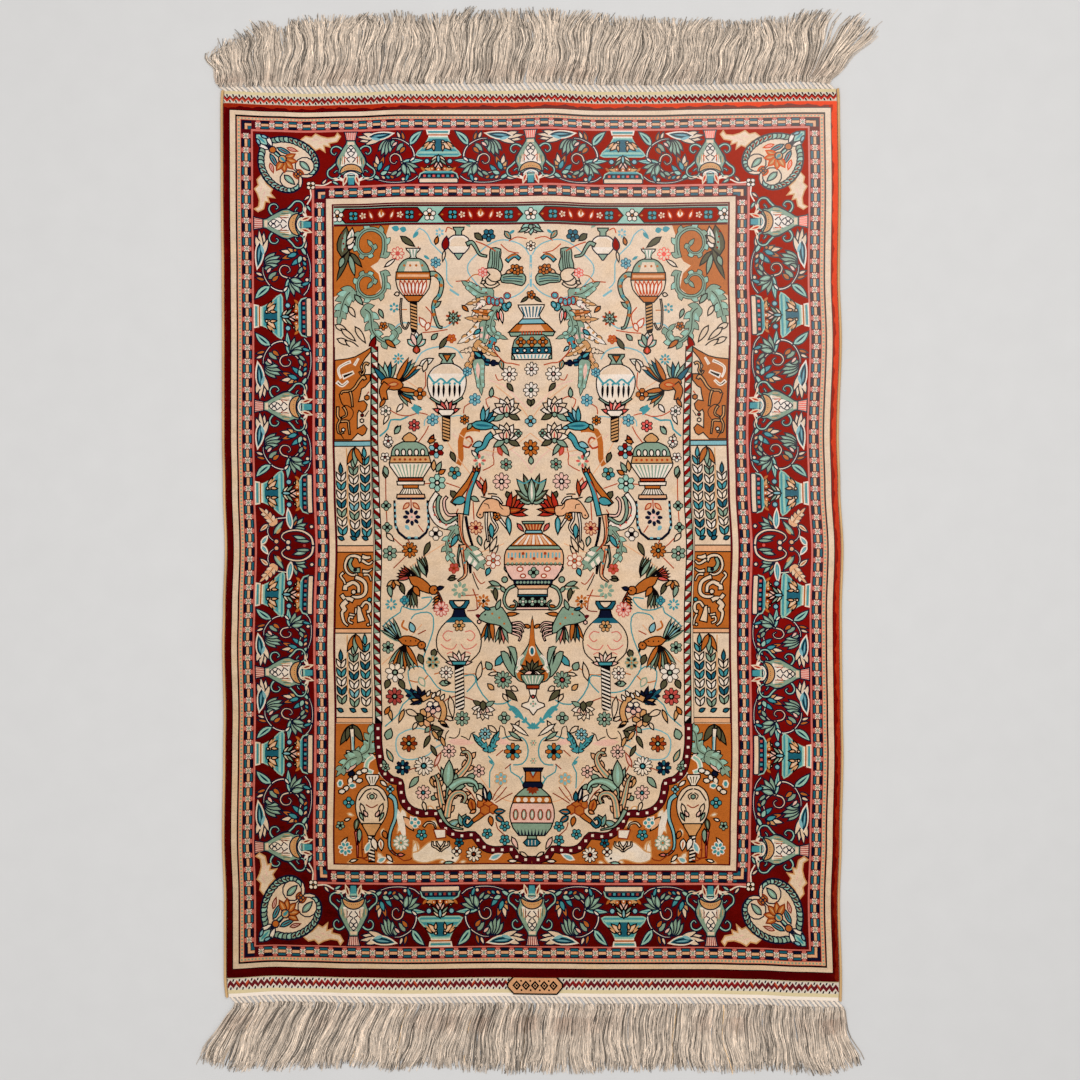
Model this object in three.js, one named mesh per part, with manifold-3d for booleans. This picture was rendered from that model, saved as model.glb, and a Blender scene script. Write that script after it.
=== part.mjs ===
// Silk prayer rug lying flat: one knotted cloth with flat-woven ends, an overcast binding
// along each side and a fringe of warp ends at the top and the bottom.
// Millimetres, +Z up. +X is the rug's right, +Y its top, and the pile faces up.
import * as THREE from 'three';
import Module from 'manifold-3d';
import * as BufferGeometryUtils from 'three/addons/utils/BufferGeometryUtils.js';

const wasm = await Module();
wasm.setup();

// Driving dimensions
const CLOTH_WIDTH = 630;
const PILE_LENGTH = 900;
const TOP_KILIM = 13;
const BOTTOM_KILIM = 20;
const WEB_THICKNESS = 1.5;
const PILE_HEIGHT = 2.2;
const PILE_EDGE_RISE = 1.0;
const SEAM_GAP = 0.4;
const BINDING = { width: 3.0, height: 3.0, sides: 6, steps: 46 };
const BACKING = { width: 4.0, height: 1.5, sides: 4, steps: 40 };
const LOCK = { count: 122, sink: 1.6, sides: 3, steps: 3 };
const CLOTH_COLUMNS = 24;
const PILE_ROWS = 28;
const CARTOUCHE = { fromCentre: 2, down: 908.5, width: 58, height: 19, cornerCut: 6.5, rise: 1.6 };

// How far each side edge stands to the right of straight, from the top of the pile to its bottom
const SIDE_SWAY = [
  { down: -0.02, left: -1.2, right: -2.0 },
  { down: 0.0, left: -2.0, right: -1.0 },
  { down: 0.1, left: -1.7, right: 0.0 },
  { down: 0.2, left: -0.8, right: -1.0 },
  { down: 0.27, left: -0.5, right: 1.0 },
  { down: 0.38, left: -0.5, right: -2.0 },
  { down: 0.44, left: 0.5, right: -0.5 },
  { down: 0.51, left: 2.3, right: 2.8 },
  { down: 0.58, left: 0.5, right: 1.0 },
  { down: 0.62, left: -0.3, right: 1.2 },
  { down: 0.7, left: 1.2, right: 2.1 },
  { down: 0.74, left: 0.7, right: 2.8 },
  { down: 0.84, left: -0.5, right: 1.0 },
  { down: 0.91, left: 1.5, right: -1.0 },
  { down: 1.0, left: 1.5, right: 1.2 },
  { down: 1.03, left: 3.5, right: 0.8 },
];

// How far each end of the pile stands towards the top, from the left edge to the right one
const END_SWAY = [
  { across: 0.0, top: 1.0, bottom: 1.0 },
  { across: 0.08, top: -1.0, bottom: 3.5 },
  { across: 0.13, top: -2.0, bottom: 2.8 },
  { across: 0.21, top: -1.0, bottom: 1.6 },
  { across: 0.29, top: 1.0, bottom: 1.0 },
  { across: 0.45, top: 1.0, bottom: 2.0 },
  { across: 0.53, top: 2.0, bottom: 1.5 },
  { across: 0.61, top: 0.0, bottom: 1.0 },
  { across: 0.7, top: 0.0, bottom: 1.0 },
  { across: 0.78, top: 1.0, bottom: 1.0 },
  { across: 0.86, top: 2.0, bottom: 0.0 },
  { across: 0.94, top: 3.0, bottom: -2.0 },
  { across: 1.0, top: 3.0, bottom: -3.0 },
];

// Where the cloth lifts off the floor: across from its centre line, down from the top of the pile
const RIPPLES = [
  { across: 18, down: 52, halfWidth: 42, halfLength: 88, rise: 2.4 },
  { across: 170, down: 18, halfWidth: 60, halfLength: 60, rise: 1.2 },
  { across: -60, down: 458, halfWidth: 230, halfLength: 34, rise: 1.0 },
  { across: 214, down: 690, halfWidth: 70, halfLength: 52, rise: 1.1 },
];

// How the locks of each fringe fall: reach outwards and lean to the right at their tips
const TOP_FALL = [
  { across: 0.0, reach: 44, lean: -15 },
  { across: 0.03, reach: 56, lean: -13 },
  { across: 0.08, reach: 74, lean: -7 },
  { across: 0.16, reach: 80, lean: -1 },
  { across: 0.3, reach: 81, lean: 3 },
  { across: 0.42, reach: 84, lean: 5 },
  { across: 0.55, reach: 81, lean: 6 },
  { across: 0.7, reach: 77, lean: 7 },
  { across: 0.85, reach: 72, lean: 8 },
  { across: 0.92, reach: 78, lean: 8 },
  { across: 0.955, reach: 83, lean: 8 },
  { across: 0.975, reach: 76, lean: 38 },
  { across: 1.0, reach: 60, lean: 47 },
];
const BOTTOM_FALL = [
  { across: 0.0, reach: 68, lean: -29 },
  { across: 0.05, reach: 76, lean: -28 },
  { across: 0.15, reach: 74, lean: -24 },
  { across: 0.3, reach: 73, lean: -14 },
  { across: 0.5, reach: 78, lean: -3 },
  { across: 0.7, reach: 75, lean: 5 },
  { across: 0.85, reach: 76, lean: 11 },
  { across: 0.95, reach: 76, lean: 17 },
  { across: 1.0, reach: 70, lean: 21 },
];
const REACH_UNEVENNESS = 2.4;
const LEAN_UNEVENNESS = 0.5;
const LEAN_CURVE = 1.4;

// The section of a lock from its root to its tip: a low triangle that lies on the floor
const LOCK_SECTIONS = [
  { along: 0.0, width: 4.0, height: 1.3 },
  { along: 0.34, width: 4.0, height: 2.0 },
  { along: 0.67, width: 3.6, height: 1.8 },
  { along: 1.0, width: 3.0, height: 1.2 },
];

// Colours of the pile, binding and fringe silk
const CRIMSON = 0x8f1712;
const PALE_GOLD = 0xd9b872;
const SILVER_CREAM = 0xcbbfb2;

// Smooth value of one column of a table at a place along its key column
function between(table, key, place, column) {
  const last = table.length - 1;
  if (place <= table[0][key]) return table[0][column];
  if (place >= table[last][key]) return table[last][column];
  const next = table.findIndex((row) => row[key] > place);
  const from = table[next - 1];
  const to = table[next];
  const share = (place - from[key]) / (to[key] - from[key]);
  const ease = share * share * (3 - 2 * share);
  return from[column] + (to[column] - from[column]) * ease;
}

function leftEdge(down) {
  return -CLOTH_WIDTH / 2 + between(SIDE_SWAY, 'down', down / PILE_LENGTH, 'left');
}

function rightEdge(down) {
  return CLOTH_WIDTH / 2 + between(SIDE_SWAY, 'down', down / PILE_LENGTH, 'right');
}

// Place on the floor of a point of the cloth: across it from 0 to 1, down it from the top of the pile
function onFloor(across, down) {
  const left = leftEdge(down);
  const x = left + (rightEdge(down) - left) * across;
  const topSway = between(END_SWAY, 'across', across, 'top');
  const bottomSway = between(END_SWAY, 'across', across, 'bottom');
  const share = THREE.MathUtils.clamp(down / PILE_LENGTH, 0, 1);
  const y = PILE_LENGTH / 2 - down + topSway * (1 - share) + bottomSway * share;
  return new THREE.Vector2(x, y);
}

// Lift of the cloth's underside off the floor
function lift(across, down) {
  const fromCentre = (across - 0.5) * CLOTH_WIDTH;
  return RIPPLES.reduce((sum, ripple) => {
    const out = Math.hypot(
      (fromCentre - ripple.across) / ripple.halfWidth,
      (down - ripple.down) / ripple.halfLength,
    );
    return out < 1 ? sum + (ripple.rise * (1 + Math.cos(Math.PI * out))) / 2 : sum;
  }, 0);
}

// The rows of the cloth from its top end to its bottom end, each with its thickness
function clothRows() {
  const pileTop = WEB_THICKNESS + PILE_HEIGHT;
  const rows = [
    { down: -TOP_KILIM, thickness: WEB_THICKNESS },
    { down: -PILE_EDGE_RISE / 2, thickness: WEB_THICKNESS },
  ];
  for (let row = 0; row <= PILE_ROWS; row += 1) {
    const inset = row === 0 ? PILE_EDGE_RISE / 2 : row === PILE_ROWS ? -PILE_EDGE_RISE / 2 : 0;
    rows.push({ down: (PILE_LENGTH * row) / PILE_ROWS + inset, thickness: pileTop });
  }
  rows.push({ down: PILE_LENGTH + PILE_EDGE_RISE / 2, thickness: WEB_THICKNESS });
  rows.push({ down: PILE_LENGTH + BOTTOM_KILIM, thickness: WEB_THICKNESS });
  return rows;
}

// A geometry with its shared points merged, so that it is one closed shell
function closed(geometry) {
  geometry.deleteAttribute('normal');
  geometry.deleteAttribute('uv');
  return BufferGeometryUtils.mergeVertices(geometry, 1e-4);
}

function toManifold(geometry) {
  const shell = closed(geometry);
  return new wasm.Manifold(new wasm.Mesh({
    numProp: 3,
    vertProperties: new Float32Array(shell.attributes.position.array),
    triVerts: new Uint32Array(shell.index.array),
  }));
}

function fromManifold(solid) {
  const mesh = solid.getMesh();
  const geometry = new THREE.BufferGeometry();
  geometry.setAttribute('position', new THREE.BufferAttribute(new Float32Array(mesh.vertProperties), 3));
  geometry.setIndex(new THREE.BufferAttribute(new Uint32Array(mesh.triVerts), 1));
  geometry.computeVertexNormals();
  return geometry;
}

// The knotted cloth, a block of columns and rows laid out on the floor
function clothGeometry() {
  const rows = clothRows();
  const block = new THREE.BoxGeometry(1, 1, 1, CLOTH_COLUMNS, rows.length - 1, 1);
  const points = block.attributes.position;
  for (let i = 0; i < points.count; i += 1) {
    const across = points.getX(i) + 0.5;
    const row = rows[Math.round((0.5 - points.getY(i)) * (rows.length - 1))];
    const place = onFloor(across, row.down);
    const rise = lift(across, row.down) + (points.getZ(i) > 0 ? row.thickness : 0);
    points.setXYZ(i, place.x, place.y, rise);
  }
  return block;
}

// The knotted patch that stands up from the lower flat-woven end
function cartoucheGeometry() {
  const halfWidth = CARTOUCHE.width / 2;
  const halfHeight = CARTOUCHE.height / 2;
  const cut = CARTOUCHE.cornerCut;
  const outline = new THREE.Shape([
    new THREE.Vector2(-halfWidth + cut, -halfHeight),
    new THREE.Vector2(halfWidth - cut, -halfHeight),
    new THREE.Vector2(halfWidth, -halfHeight + cut),
    new THREE.Vector2(halfWidth, halfHeight - cut),
    new THREE.Vector2(halfWidth - cut, halfHeight),
    new THREE.Vector2(-halfWidth + cut, halfHeight),
    new THREE.Vector2(-halfWidth, halfHeight - cut),
    new THREE.Vector2(-halfWidth, -halfHeight + cut),
  ]);
  const depth = WEB_THICKNESS / 2 + CARTOUCHE.rise;
  const patch = new THREE.ExtrudeGeometry(outline, { depth, bevelEnabled: false });
  const place = onFloor(0.5 + CARTOUCHE.fromCentre / CLOTH_WIDTH, CARTOUCHE.down);
  patch.translate(place.x, place.y, WEB_THICKNESS / 2);
  return patch;
}

// A bar with a level underside along a route of points, each with its width and height
function laidBar(route, sides) {
  const firstCorner = sides % 2 === 0 ? Math.PI / sides : 0;
  const bar = new THREE.CylinderGeometry(1, 1, 1, sides, route.length - 1, false, firstCorner);
  const points = bar.attributes.position;
  const { min, max } = new THREE.Box3().setFromBufferAttribute(points);
  for (let i = 0; i < points.count; i += 1) {
    const step = Math.round((0.5 - points.getY(i)) * (route.length - 1));
    const here = route[step];
    const before = route[Math.max(step - 1, 0)];
    const after = route[Math.min(step + 1, route.length - 1)];
    const along = new THREE.Vector2().subVectors(after.place, before.place).normalize();
    const out = (points.getX(i) / max.x) * (here.width / 2);
    const up = ((points.getZ(i) - min.z) / (max.z - min.z)) * here.height;
    points.setXYZ(i, here.place.x - along.y * out, here.place.y + along.x * out, up);
  }
  return bar;
}

// The overcast binding beside the left (side -1) or right (side 1) edge
function bindingGeometry(side) {
  const route = [];
  const start = -TOP_KILIM;
  const length = TOP_KILIM + PILE_LENGTH + BOTTOM_KILIM;
  for (let step = 0; step <= BINDING.steps; step += 1) {
    const down = start + (length * step) / BINDING.steps;
    const place = onFloor(side < 0 ? 0 : 1, down);
    place.x += side * (BINDING.width / 2 + SEAM_GAP);
    route.push({ place, width: BINDING.width, height: BINDING.height });
  }
  return laidBar(route, BINDING.sides);
}

// A fringe beyond the top (end 1) or the bottom (end -1): its locks, fused at their roots into a narrow strip
function fringeGeometry(end, fall, seed) {
  const edge = end > 0 ? -TOP_KILIM : PILE_LENGTH + BOTTOM_KILIM;
  const strip = [];
  for (let step = 0; step <= BACKING.steps; step += 1) {
    const place = onFloor(step / BACKING.steps, edge);
    place.y += end * (SEAM_GAP + BACKING.width / 2);
    strip.push({ place, width: BACKING.width, height: BACKING.height });
  }
  const solids = [toManifold(laidBar(strip, BACKING.sides))];
  for (let i = 0; i < LOCK.count; i += 1) {
    const across = (i + 0.5) / LOCK.count;
    const root = onFloor(across, edge);
    root.y += end * (SEAM_GAP + BACKING.width - LOCK.sink);
    const unevenness = Math.sin(i * seed) * REACH_UNEVENNESS;
    const reach = between(fall, 'across', across, 'reach') + unevenness - BACKING.width;
    const lean = between(fall, 'across', across, 'lean') + Math.cos(i * seed) * LEAN_UNEVENNESS;
    const route = [];
    for (let step = 0; step <= LOCK.steps; step += 1) {
      const along = step / LOCK.steps;
      route.push({
        place: new THREE.Vector2(root.x + lean * along ** LEAN_CURVE, root.y + end * reach * along),
        width: between(LOCK_SECTIONS, 'along', along, 'width'),
        height: between(LOCK_SECTIONS, 'along', along, 'height'),
      });
    }
    solids.push(toManifold(laidBar(route, LOCK.sides)));
  }
  return fromManifold(wasm.Manifold.union(solids));
}

function silk(color) {
  return new THREE.MeshStandardMaterial({ color, roughness: 0.6, metalness: 0 });
}

function piece(name, geometry, material) {
  const mesh = new THREE.Mesh(geometry, material);
  mesh.name = name;
  return mesh;
}

const silkRug = new THREE.Group();
const binding = silk(PALE_GOLD);
const fringe = silk(SILVER_CREAM);
const cloth = toManifold(clothGeometry()).add(toManifold(cartoucheGeometry()));
silkRug.add(
  piece('rug', fromManifold(cloth), silk(CRIMSON)),
  piece('selvedge_left', bindingGeometry(-1), binding),
  piece('selvedge_right', bindingGeometry(1), binding),
  piece('fringe_top', fringeGeometry(1, TOP_FALL, 2.3), fringe),
  piece('fringe_bottom', fringeGeometry(-1, BOTTOM_FALL, 3.7), fringe),
);

// The reference point is the middle of the whole rug, on the floor
const reach = new THREE.Box3().setFromObject(silkRug);
const middle = reach.getCenter(new THREE.Vector3());
silkRug.position.set(-middle.x, -middle.y, -reach.min.z);
silkRug.updateMatrixWorld(true);

export default silkRug;
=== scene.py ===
"""Silk prayer rug, laid flat with its pile up and seen from straight above.

The design is drawn as the weaver's chart is: in knots, out from the rug's middle line and down
from the top of the pile. Each motif is a handful of outlines laid one over another, and the pile
is one mesh whose edges follow those outlines.
"""
import math
from contextlib import contextmanager

import bpy
import numpy as np
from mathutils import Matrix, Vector
from mathutils.geometry import delaunay_2d_cdt


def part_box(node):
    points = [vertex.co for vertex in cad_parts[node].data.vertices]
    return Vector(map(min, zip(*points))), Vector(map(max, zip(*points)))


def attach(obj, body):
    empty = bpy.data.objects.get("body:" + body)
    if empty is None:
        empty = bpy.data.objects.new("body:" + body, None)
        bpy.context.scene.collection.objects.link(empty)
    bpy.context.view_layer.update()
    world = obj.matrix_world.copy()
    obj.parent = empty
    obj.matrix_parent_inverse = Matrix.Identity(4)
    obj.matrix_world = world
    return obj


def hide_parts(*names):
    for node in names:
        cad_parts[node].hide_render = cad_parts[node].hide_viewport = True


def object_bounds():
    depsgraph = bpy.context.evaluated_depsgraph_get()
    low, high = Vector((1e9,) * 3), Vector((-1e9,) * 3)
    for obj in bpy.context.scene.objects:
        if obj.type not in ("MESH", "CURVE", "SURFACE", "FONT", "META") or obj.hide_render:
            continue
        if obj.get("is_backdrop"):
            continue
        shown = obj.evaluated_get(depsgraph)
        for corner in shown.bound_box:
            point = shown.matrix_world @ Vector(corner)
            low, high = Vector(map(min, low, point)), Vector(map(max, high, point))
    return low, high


bl_info = {
    "name": "Silk prayer rug",
    "version": (1, 0, 0),
    "blender": (4, 5, 0),
    "location": "View3D > Sidebar > Rug",
    "description": "Builds a knotted silk prayer rug with its bindings and fringes",
    "category": "Add Mesh",
}

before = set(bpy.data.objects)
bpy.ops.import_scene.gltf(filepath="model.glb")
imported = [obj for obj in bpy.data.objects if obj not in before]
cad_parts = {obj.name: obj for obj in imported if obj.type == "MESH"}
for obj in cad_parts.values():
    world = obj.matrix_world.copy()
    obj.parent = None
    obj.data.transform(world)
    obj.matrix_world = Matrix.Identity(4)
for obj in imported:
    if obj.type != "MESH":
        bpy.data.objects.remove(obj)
CAD_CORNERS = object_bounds()
RUG_LOW, RUG_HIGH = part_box("rug")
MM = 0.001


class Rows:
    """A short table: named columns, the first of which is the key, in rising order."""

    def __init__(self, columns, *rows):
        self.columns = dict(zip(columns.split(), np.array(rows, float).T))
        self.key = next(iter(self.columns.values()))

    def between(self, place, column):
        """Smooth value of a column at a place, or at each of an array of places, along the key."""
        values = self.columns[column]
        place = np.clip(place, self.key[0], self.key[-1])
        after = np.clip(np.searchsorted(self.key, place, side="right"), 1, len(self.key) - 1)
        share = (place - self.key[after - 1]) / (self.key[after] - self.key[after - 1])
        ease = share * share * (3 - 2 * share)
        return values[after - 1] + (values[after] - values[after - 1]) * ease


# Sizes shared with the CAD source, in millimetres
CLOTH_WIDTH = 630.0
PILE_LENGTH = 900.0
TOP_KILIM = 13.0
BOTTOM_KILIM = 20.0
WEB_THICKNESS = 1.5
PILE_HEIGHT = 2.2
SEAM_GAP = 0.4
BINDING_WIDTH = 3.0
PATCH_FROM_CENTRE = 2.0
PATCH_DOWN = 908.5
PATCH_WIDTH = 58.0
PATCH_HEIGHT = 19.0
PATCH_CORNER = 6.5
PATCH_RISE = 1.6

SIDE_SWAY = Rows(
    "down left right",
    (-0.02, -1.2, -2.0), (0.0, -2.0, -1.0), (0.1, -1.7, 0.0), (0.2, -0.8, -1.0),
    (0.27, -0.5, 1.0), (0.38, -0.5, -2.0), (0.44, 0.5, -0.5), (0.51, 2.3, 2.8),
    (0.58, 0.5, 1.0), (0.62, -0.3, 1.2), (0.7, 1.2, 2.1), (0.74, 0.7, 2.8),
    (0.84, -0.5, 1.0), (0.91, 1.5, -1.0), (1.0, 1.5, 1.2), (1.03, 3.5, 0.8),
)
END_SWAY = Rows(
    "across top bottom", (0.0, 1.0, 1.0), (0.08, -1.0, 3.5), (0.13, -2.0, 2.8), (0.21, -1.0, 1.6),
    (0.29, 1.0, 1.0), (0.45, 1.0, 2.0), (0.53, 2.0, 1.5), (0.61, 0.0, 1.0), (0.7, 0.0, 1.0),
    (0.78, 1.0, 1.0), (0.86, 2.0, 0.0), (0.94, 3.0, -2.0), (1.0, 3.0, -3.0),
)
RIPPLES = Rows(
    "across down half_width half_length rise", (-60, 458, 230, 34, 1.0), (18, 52, 42, 88, 2.4),
    (170, 18, 60, 60, 1.2), (214, 690, 70, 52, 1.1),
)
TOP_FALL = Rows(
    "across reach lean", (0.0, 44, -15), (0.03, 56, -13), (0.08, 74, -7), (0.16, 80, -1), (0.3, 81, 3),
    (0.42, 84, 5), (0.55, 81, 6), (0.7, 77, 7), (0.85, 72, 8), (0.92, 78, 8), (0.955, 83, 8),
    (0.975, 76, 38), (1.0, 60, 47),
)
BOTTOM_FALL = Rows(
    "across reach lean",
    (0.0, 68, -29), (0.05, 76, -28), (0.15, 74, -24), (0.3, 73, -14), (0.5, 78, -3),
    (0.7, 75, 5), (0.85, 76, 11), (0.95, 76, 17), (1.0, 70, 21),
)

# The chart: one knot is a little over a millimetre
KNOTS_ACROSS = 612.0
KNOTS_DOWN = 873.0
HALF = KNOTS_ACROSS / 2
INK_WIDTH = 1.26

# Silk of each dye, as red, green and blue from 0 to 255
DYES = {
    "ink": (12, 7, 9),
    "crimson": (130, 14, 10),
    "wine": (98, 4, 7),
    # edge_red is also painted sheen: the bright strip along the outermost band's top and right.
    "edge_red": (182, 46, 20),
    "maroon": (92, 14, 22),
    "cream": (225, 198, 170),
    "pale": (234, 218, 202),
    "peach": (224, 168, 126),
    "gold": (208, 168, 116),
    "orange": (183, 99, 38),
    "tan": (205, 150, 96),
    "rust": (176, 66, 30),
    "coral": (214, 88, 78),
    "rose": (208, 112, 98),
    "pink": (230, 184, 168),
    "turquoise": (68, 144, 150),
    "sky": (126, 176, 182),
    "mint": (150, 190, 172),
    "teal": (30, 92, 108),
    "navy": (15, 20, 42),
    "sage": (132, 156, 134),
    "moss": (84, 80, 56),
    "scarlet": (186, 46, 30),
    "straw": (208, 189, 147),
    "warp": (222, 205, 187),
    "chalk": (208, 194, 176),
}


def edge_at(down, side):
    """Distance in millimetres of the cloth's left (-1) or right (1) edge from its centre line."""
    column = "left" if side < 0 else "right"
    return side * CLOTH_WIDTH / 2 + SIDE_SWAY.between(down / PILE_LENGTH, column)


# The CAD model stands with its middle over the origin, so the cloth is laid by its left edge
SWAY_SAMPLES = np.linspace(0, PILE_LENGTH, 29)
CLOTH_SHIFT_X = RUG_LOW.x / MM - edge_at(SWAY_SAMPLES, -1).min()
CLOTH_SHIFT_Y = RUG_HIGH.y / MM - (PILE_LENGTH / 2 + TOP_KILIM + END_SWAY.columns["top"].max())


def on_floor(across, down):
    """Place on the floor, in millimetres, of the cloth across it from 0 to 1 and down it."""
    left = edge_at(down, -1)
    x = left + (edge_at(down, 1) - left) * across
    share = np.clip(down / PILE_LENGTH, 0, 1)
    sway = END_SWAY.between(across, "top") * (1 - share) + END_SWAY.between(across, "bottom") * share
    return x + CLOTH_SHIFT_X, PILE_LENGTH / 2 - down + sway + CLOTH_SHIFT_Y


def lift(across, down):
    """Height in millimetres of the cloth's underside above the floor."""
    total = np.zeros(np.broadcast(across, down).shape)
    table = RIPPLES.columns
    for i in range(len(RIPPLES.key)):
        out = np.hypot(
            ((across - 0.5) * CLOTH_WIDTH - table["across"][i]) / table["half_width"][i],
            (down - table["down"][i]) / table["half_length"][i],
        )
        total += np.where(out < 1, table["rise"][i] * (1 + np.cos(np.pi * np.minimum(out, 1))) / 2, 0)
    return total


# Lines and outlines of the chart, as complex numbers: out to the right, and down


def path(*numbers):
    """Points from numbers given as out, down, out, down and so on."""
    return np.array(numbers[0::2]) + 1j * np.array(numbers[1::2])


def smooth(points, closed=False, steps=3):
    """The points joined by a soft curve that passes through each of them."""
    points = np.asarray(points)
    if closed:
        before, here = np.roll(points, 1), points
        after, beyond = np.roll(points, -1), np.roll(points, -2)
    else:
        padded = np.concatenate([[2 * points[0] - points[1]], points, [2 * points[-1] - points[-2]]])
        before, here, after, beyond = padded[:-3], padded[1:-2], padded[2:-1], padded[3:]
    t = (np.arange(steps) / steps)[None, :]
    curve = 0.5 * (
        2 * here[:, None]
        + (after - before)[:, None] * t
        + (2 * before - 5 * here + 4 * after - beyond)[:, None] * t**2
        + (3 * here - before - 3 * after + beyond)[:, None] * t**3
    )
    curve = curve.ravel()
    return curve if closed else np.append(curve, points[-1])


def grown(outline, by):
    """The closed outline moved outwards by so many knots, or inwards where that is negative."""
    ahead = np.roll(outline, -1) - outline
    ahead = ahead / np.maximum(abs(ahead), 1e-6)
    area = np.sum(outline.real * np.roll(outline.imag, -1) - outline.imag * np.roll(outline.real, -1))
    out = -1j * ahead * (1 if area > 0 else -1)
    corner = out + np.roll(out, 1)
    stretch = np.maximum(abs(corner), 0.75)
    return outline + by * 2 * corner / stretch**2


def ribbon(spine, width, tip):
    """Outline of a ribbon along a spine, from one width to another."""
    ahead = np.gradient(spine)
    side = 1j * ahead / np.maximum(abs(ahead), 1e-6)
    half = np.linspace(width, tip, len(spine)) / 2
    return np.concatenate([spine + side * half, (spine - side * half)[::-1]])


def disc(x, y, across, down=None, turn=0.0, corners=8):
    """An oval round a place, from its radius across and, if it is another, down."""
    angle = (np.arange(corners) + 0.5) * 2 * np.pi / corners
    flat = across * np.cos(angle) + 1j * (across if down is None else down) * np.sin(angle)
    return x + 1j * y + flat * np.exp(1j * math.radians(turn))


def blade(start, end, width, bend=0.0, corners=3):
    """The outline of a pointed leaf from one place to another."""
    along = end - start
    side = 1j * along / max(abs(along), 1e-6)
    t = np.linspace(0, 1, corners + 2)
    spine = start + along * t + side * bend * 4 * t * (1 - t)
    half = np.sin(np.pi * t**0.8) ** 0.8 * width / 2
    return np.concatenate([spine + side * half, (spine - side * half)[-2:0:-1]])


class Chart:
    """The design, as closed outlines each laid over those before it."""

    def __init__(self):
        self.outlines = []
        self.dyes = []
        self.carry = lambda points: points

    @contextmanager
    def carried(self, move):
        """What is drawn meanwhile is carried to its place by a function of its points."""
        before = self.carry
        self.carry = lambda points: before(move(points))
        yield
        self.carry = before

    def at(self, x, y, turn=0.0, size=1.0, flip=False):
        """What is drawn meanwhile is drawn round a place, turned, sized or flipped sideways."""
        spin = size * np.exp(1j * math.radians(turn))
        side = -1 if flip else 1
        return self.carried(lambda points: x + 1j * y + spin * (side * points.real + 1j * points.imag))

    def mirrored(self):
        """Twice round a loop, the second time with left and right changed over."""
        before = self.carry
        for side in (1, -1):
            self.carry = lambda points, side=side: before(side * points.real + 1j * points.imag)
            yield side
        self.carry = before

    def folded(self):
        """Twice round a loop, the second time with out and down changed over."""
        before = self.carry
        yield
        self.carry = lambda points: before(points.imag + 1j * points.real)
        yield
        self.carry = before

    def lay(self, outline, dye, ink=None, line=INK_WIDTH):
        """One closed outline of a dye, edged with ink if an ink is named."""
        if ink:
            self.outlines.append(self.carry(grown(outline, line * 0.55)))
            self.dyes.append(ink)
            outline = grown(outline, -line * 0.45)
        self.outlines.append(self.carry(outline))
        self.dyes.append(dye)

    def block(self, x0, y0, x1, y1, dye, ink=None):
        self.lay(path(x0, y0, x1, y0, x1, y1, x0, y1), dye, ink)

    def dot(self, x, y, radius, dye, ink=None, corners=6):
        self.lay(disc(x, y, radius, corners=corners), dye, ink)

    def oval(self, x, y, across, down, dye, ink=None, turn=0.0, corners=10):
        self.lay(disc(x, y, across, down, turn, corners), dye, ink)

    def stem(self, points, width, dye, ink=None, tip=None, steps=3):
        spine = smooth(points, steps=steps)
        self.lay(ribbon(spine, width, width if tip is None else tip), dye, ink)

    def leaf(self, x0, y0, x1, y1, width, dye, ink="ink", core=None, bend=0.0, corners=4):
        """A pointed leaf from one place to another, with a core of a second dye if one is named."""
        start, end = x0 + 1j * y0, x1 + 1j * y1
        outline = blade(start, end, width, bend, corners)
        self.lay(outline, dye, ink)
        if core:
            middle = (start + end) / 2
            self.lay(middle + (blade(start, end, width * 0.4, bend, corners) - middle) * 0.7, core)

    def fan(self, x, y, length, first, last, count, width, dyes, ink="ink", inner=0.0):
        """Leaves that spread from a place between two angles, as a wing, tail or lotus does."""
        dyes = dyes if isinstance(dyes, (list, tuple)) else [dyes]
        for i in range(count):
            angle = math.radians(first + (last - first) * i / max(count - 1, 1))
            far = complex(math.cos(angle), math.sin(angle))
            near = x + 1j * y + inner * far
            tip = x + 1j * y + length * far
            self.leaf(near.real, near.imag, tip.real, tip.imag, width, dyes[i % len(dyes)], ink, corners=3)

    def flower(self, x, y, radius, petals, dye, eye, ink="ink", eye_ink=None, second=None, turn=0.0):
        """A round flower of so many petals, seen from the front."""
        step = 2 * np.pi / petals
        width = min(radius * math.sin(step / 2) * 0.62 - INK_WIDTH * 0.22, radius * 0.44)
        outlines = []
        for i in range(petals):
            angle = i * step + math.radians(turn)
            place = x + 1j * y + radius * 0.62 * np.exp(1j * angle)
            outlines.append(place + disc(0, 0, radius * 0.33, width, corners=6) * np.exp(1j * angle))
        if ink:
            self.dot(x, y, radius * 0.6, ink)
            for outline in outlines:
                self.lay(grown(outline, INK_WIDTH * 0.7), ink)
        for i, outline in enumerate(outlines):
            self.lay(outline, second if second and i % 2 else dye)
        if eye:
            self.dot(x, y, radius * 0.24, eye, eye_ink or ink)

    def vase(self, x, rows, dye, ink="ink", soft=False):
        """A form that is the same on both sides of a line, from rows of down and half width."""
        down, half = np.array(rows[0::2]), np.array(rows[1::2])
        right = half + 1j * down
        if soft:
            right = smooth(right, steps=2)
        self.lay(x + np.concatenate([right, -right.conj()[::-1]]), dye, ink)

    def stripes(self, x, y0, y1, half0, half1, count, dye, share=0.5):
        """Upright stripes across a form, half0 wide at y0 and half1 at y1."""
        for i in range(count):
            left, right = (2 * (i + (1 - share) / 2) / count - 1), (2 * (i + (1 + share) / 2) / count - 1)
            self.lay(
                path(x + left * half0, y0, x + right * half0, y0, x + right * half1, y1, x + left * half1,
                     y1),
                dye,
            )

    def row(self, x, y, half, count, radius, dye, ink=None, corners=5, sag=0.0):
        """Dots in a row, sagging in the middle if asked."""
        for i in range(count):
            place = 2 * (i + 0.5) / count - 1
            self.dot(x + place * half, y + sag * (1 - place * place), radius, dye, ink, corners)

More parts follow.
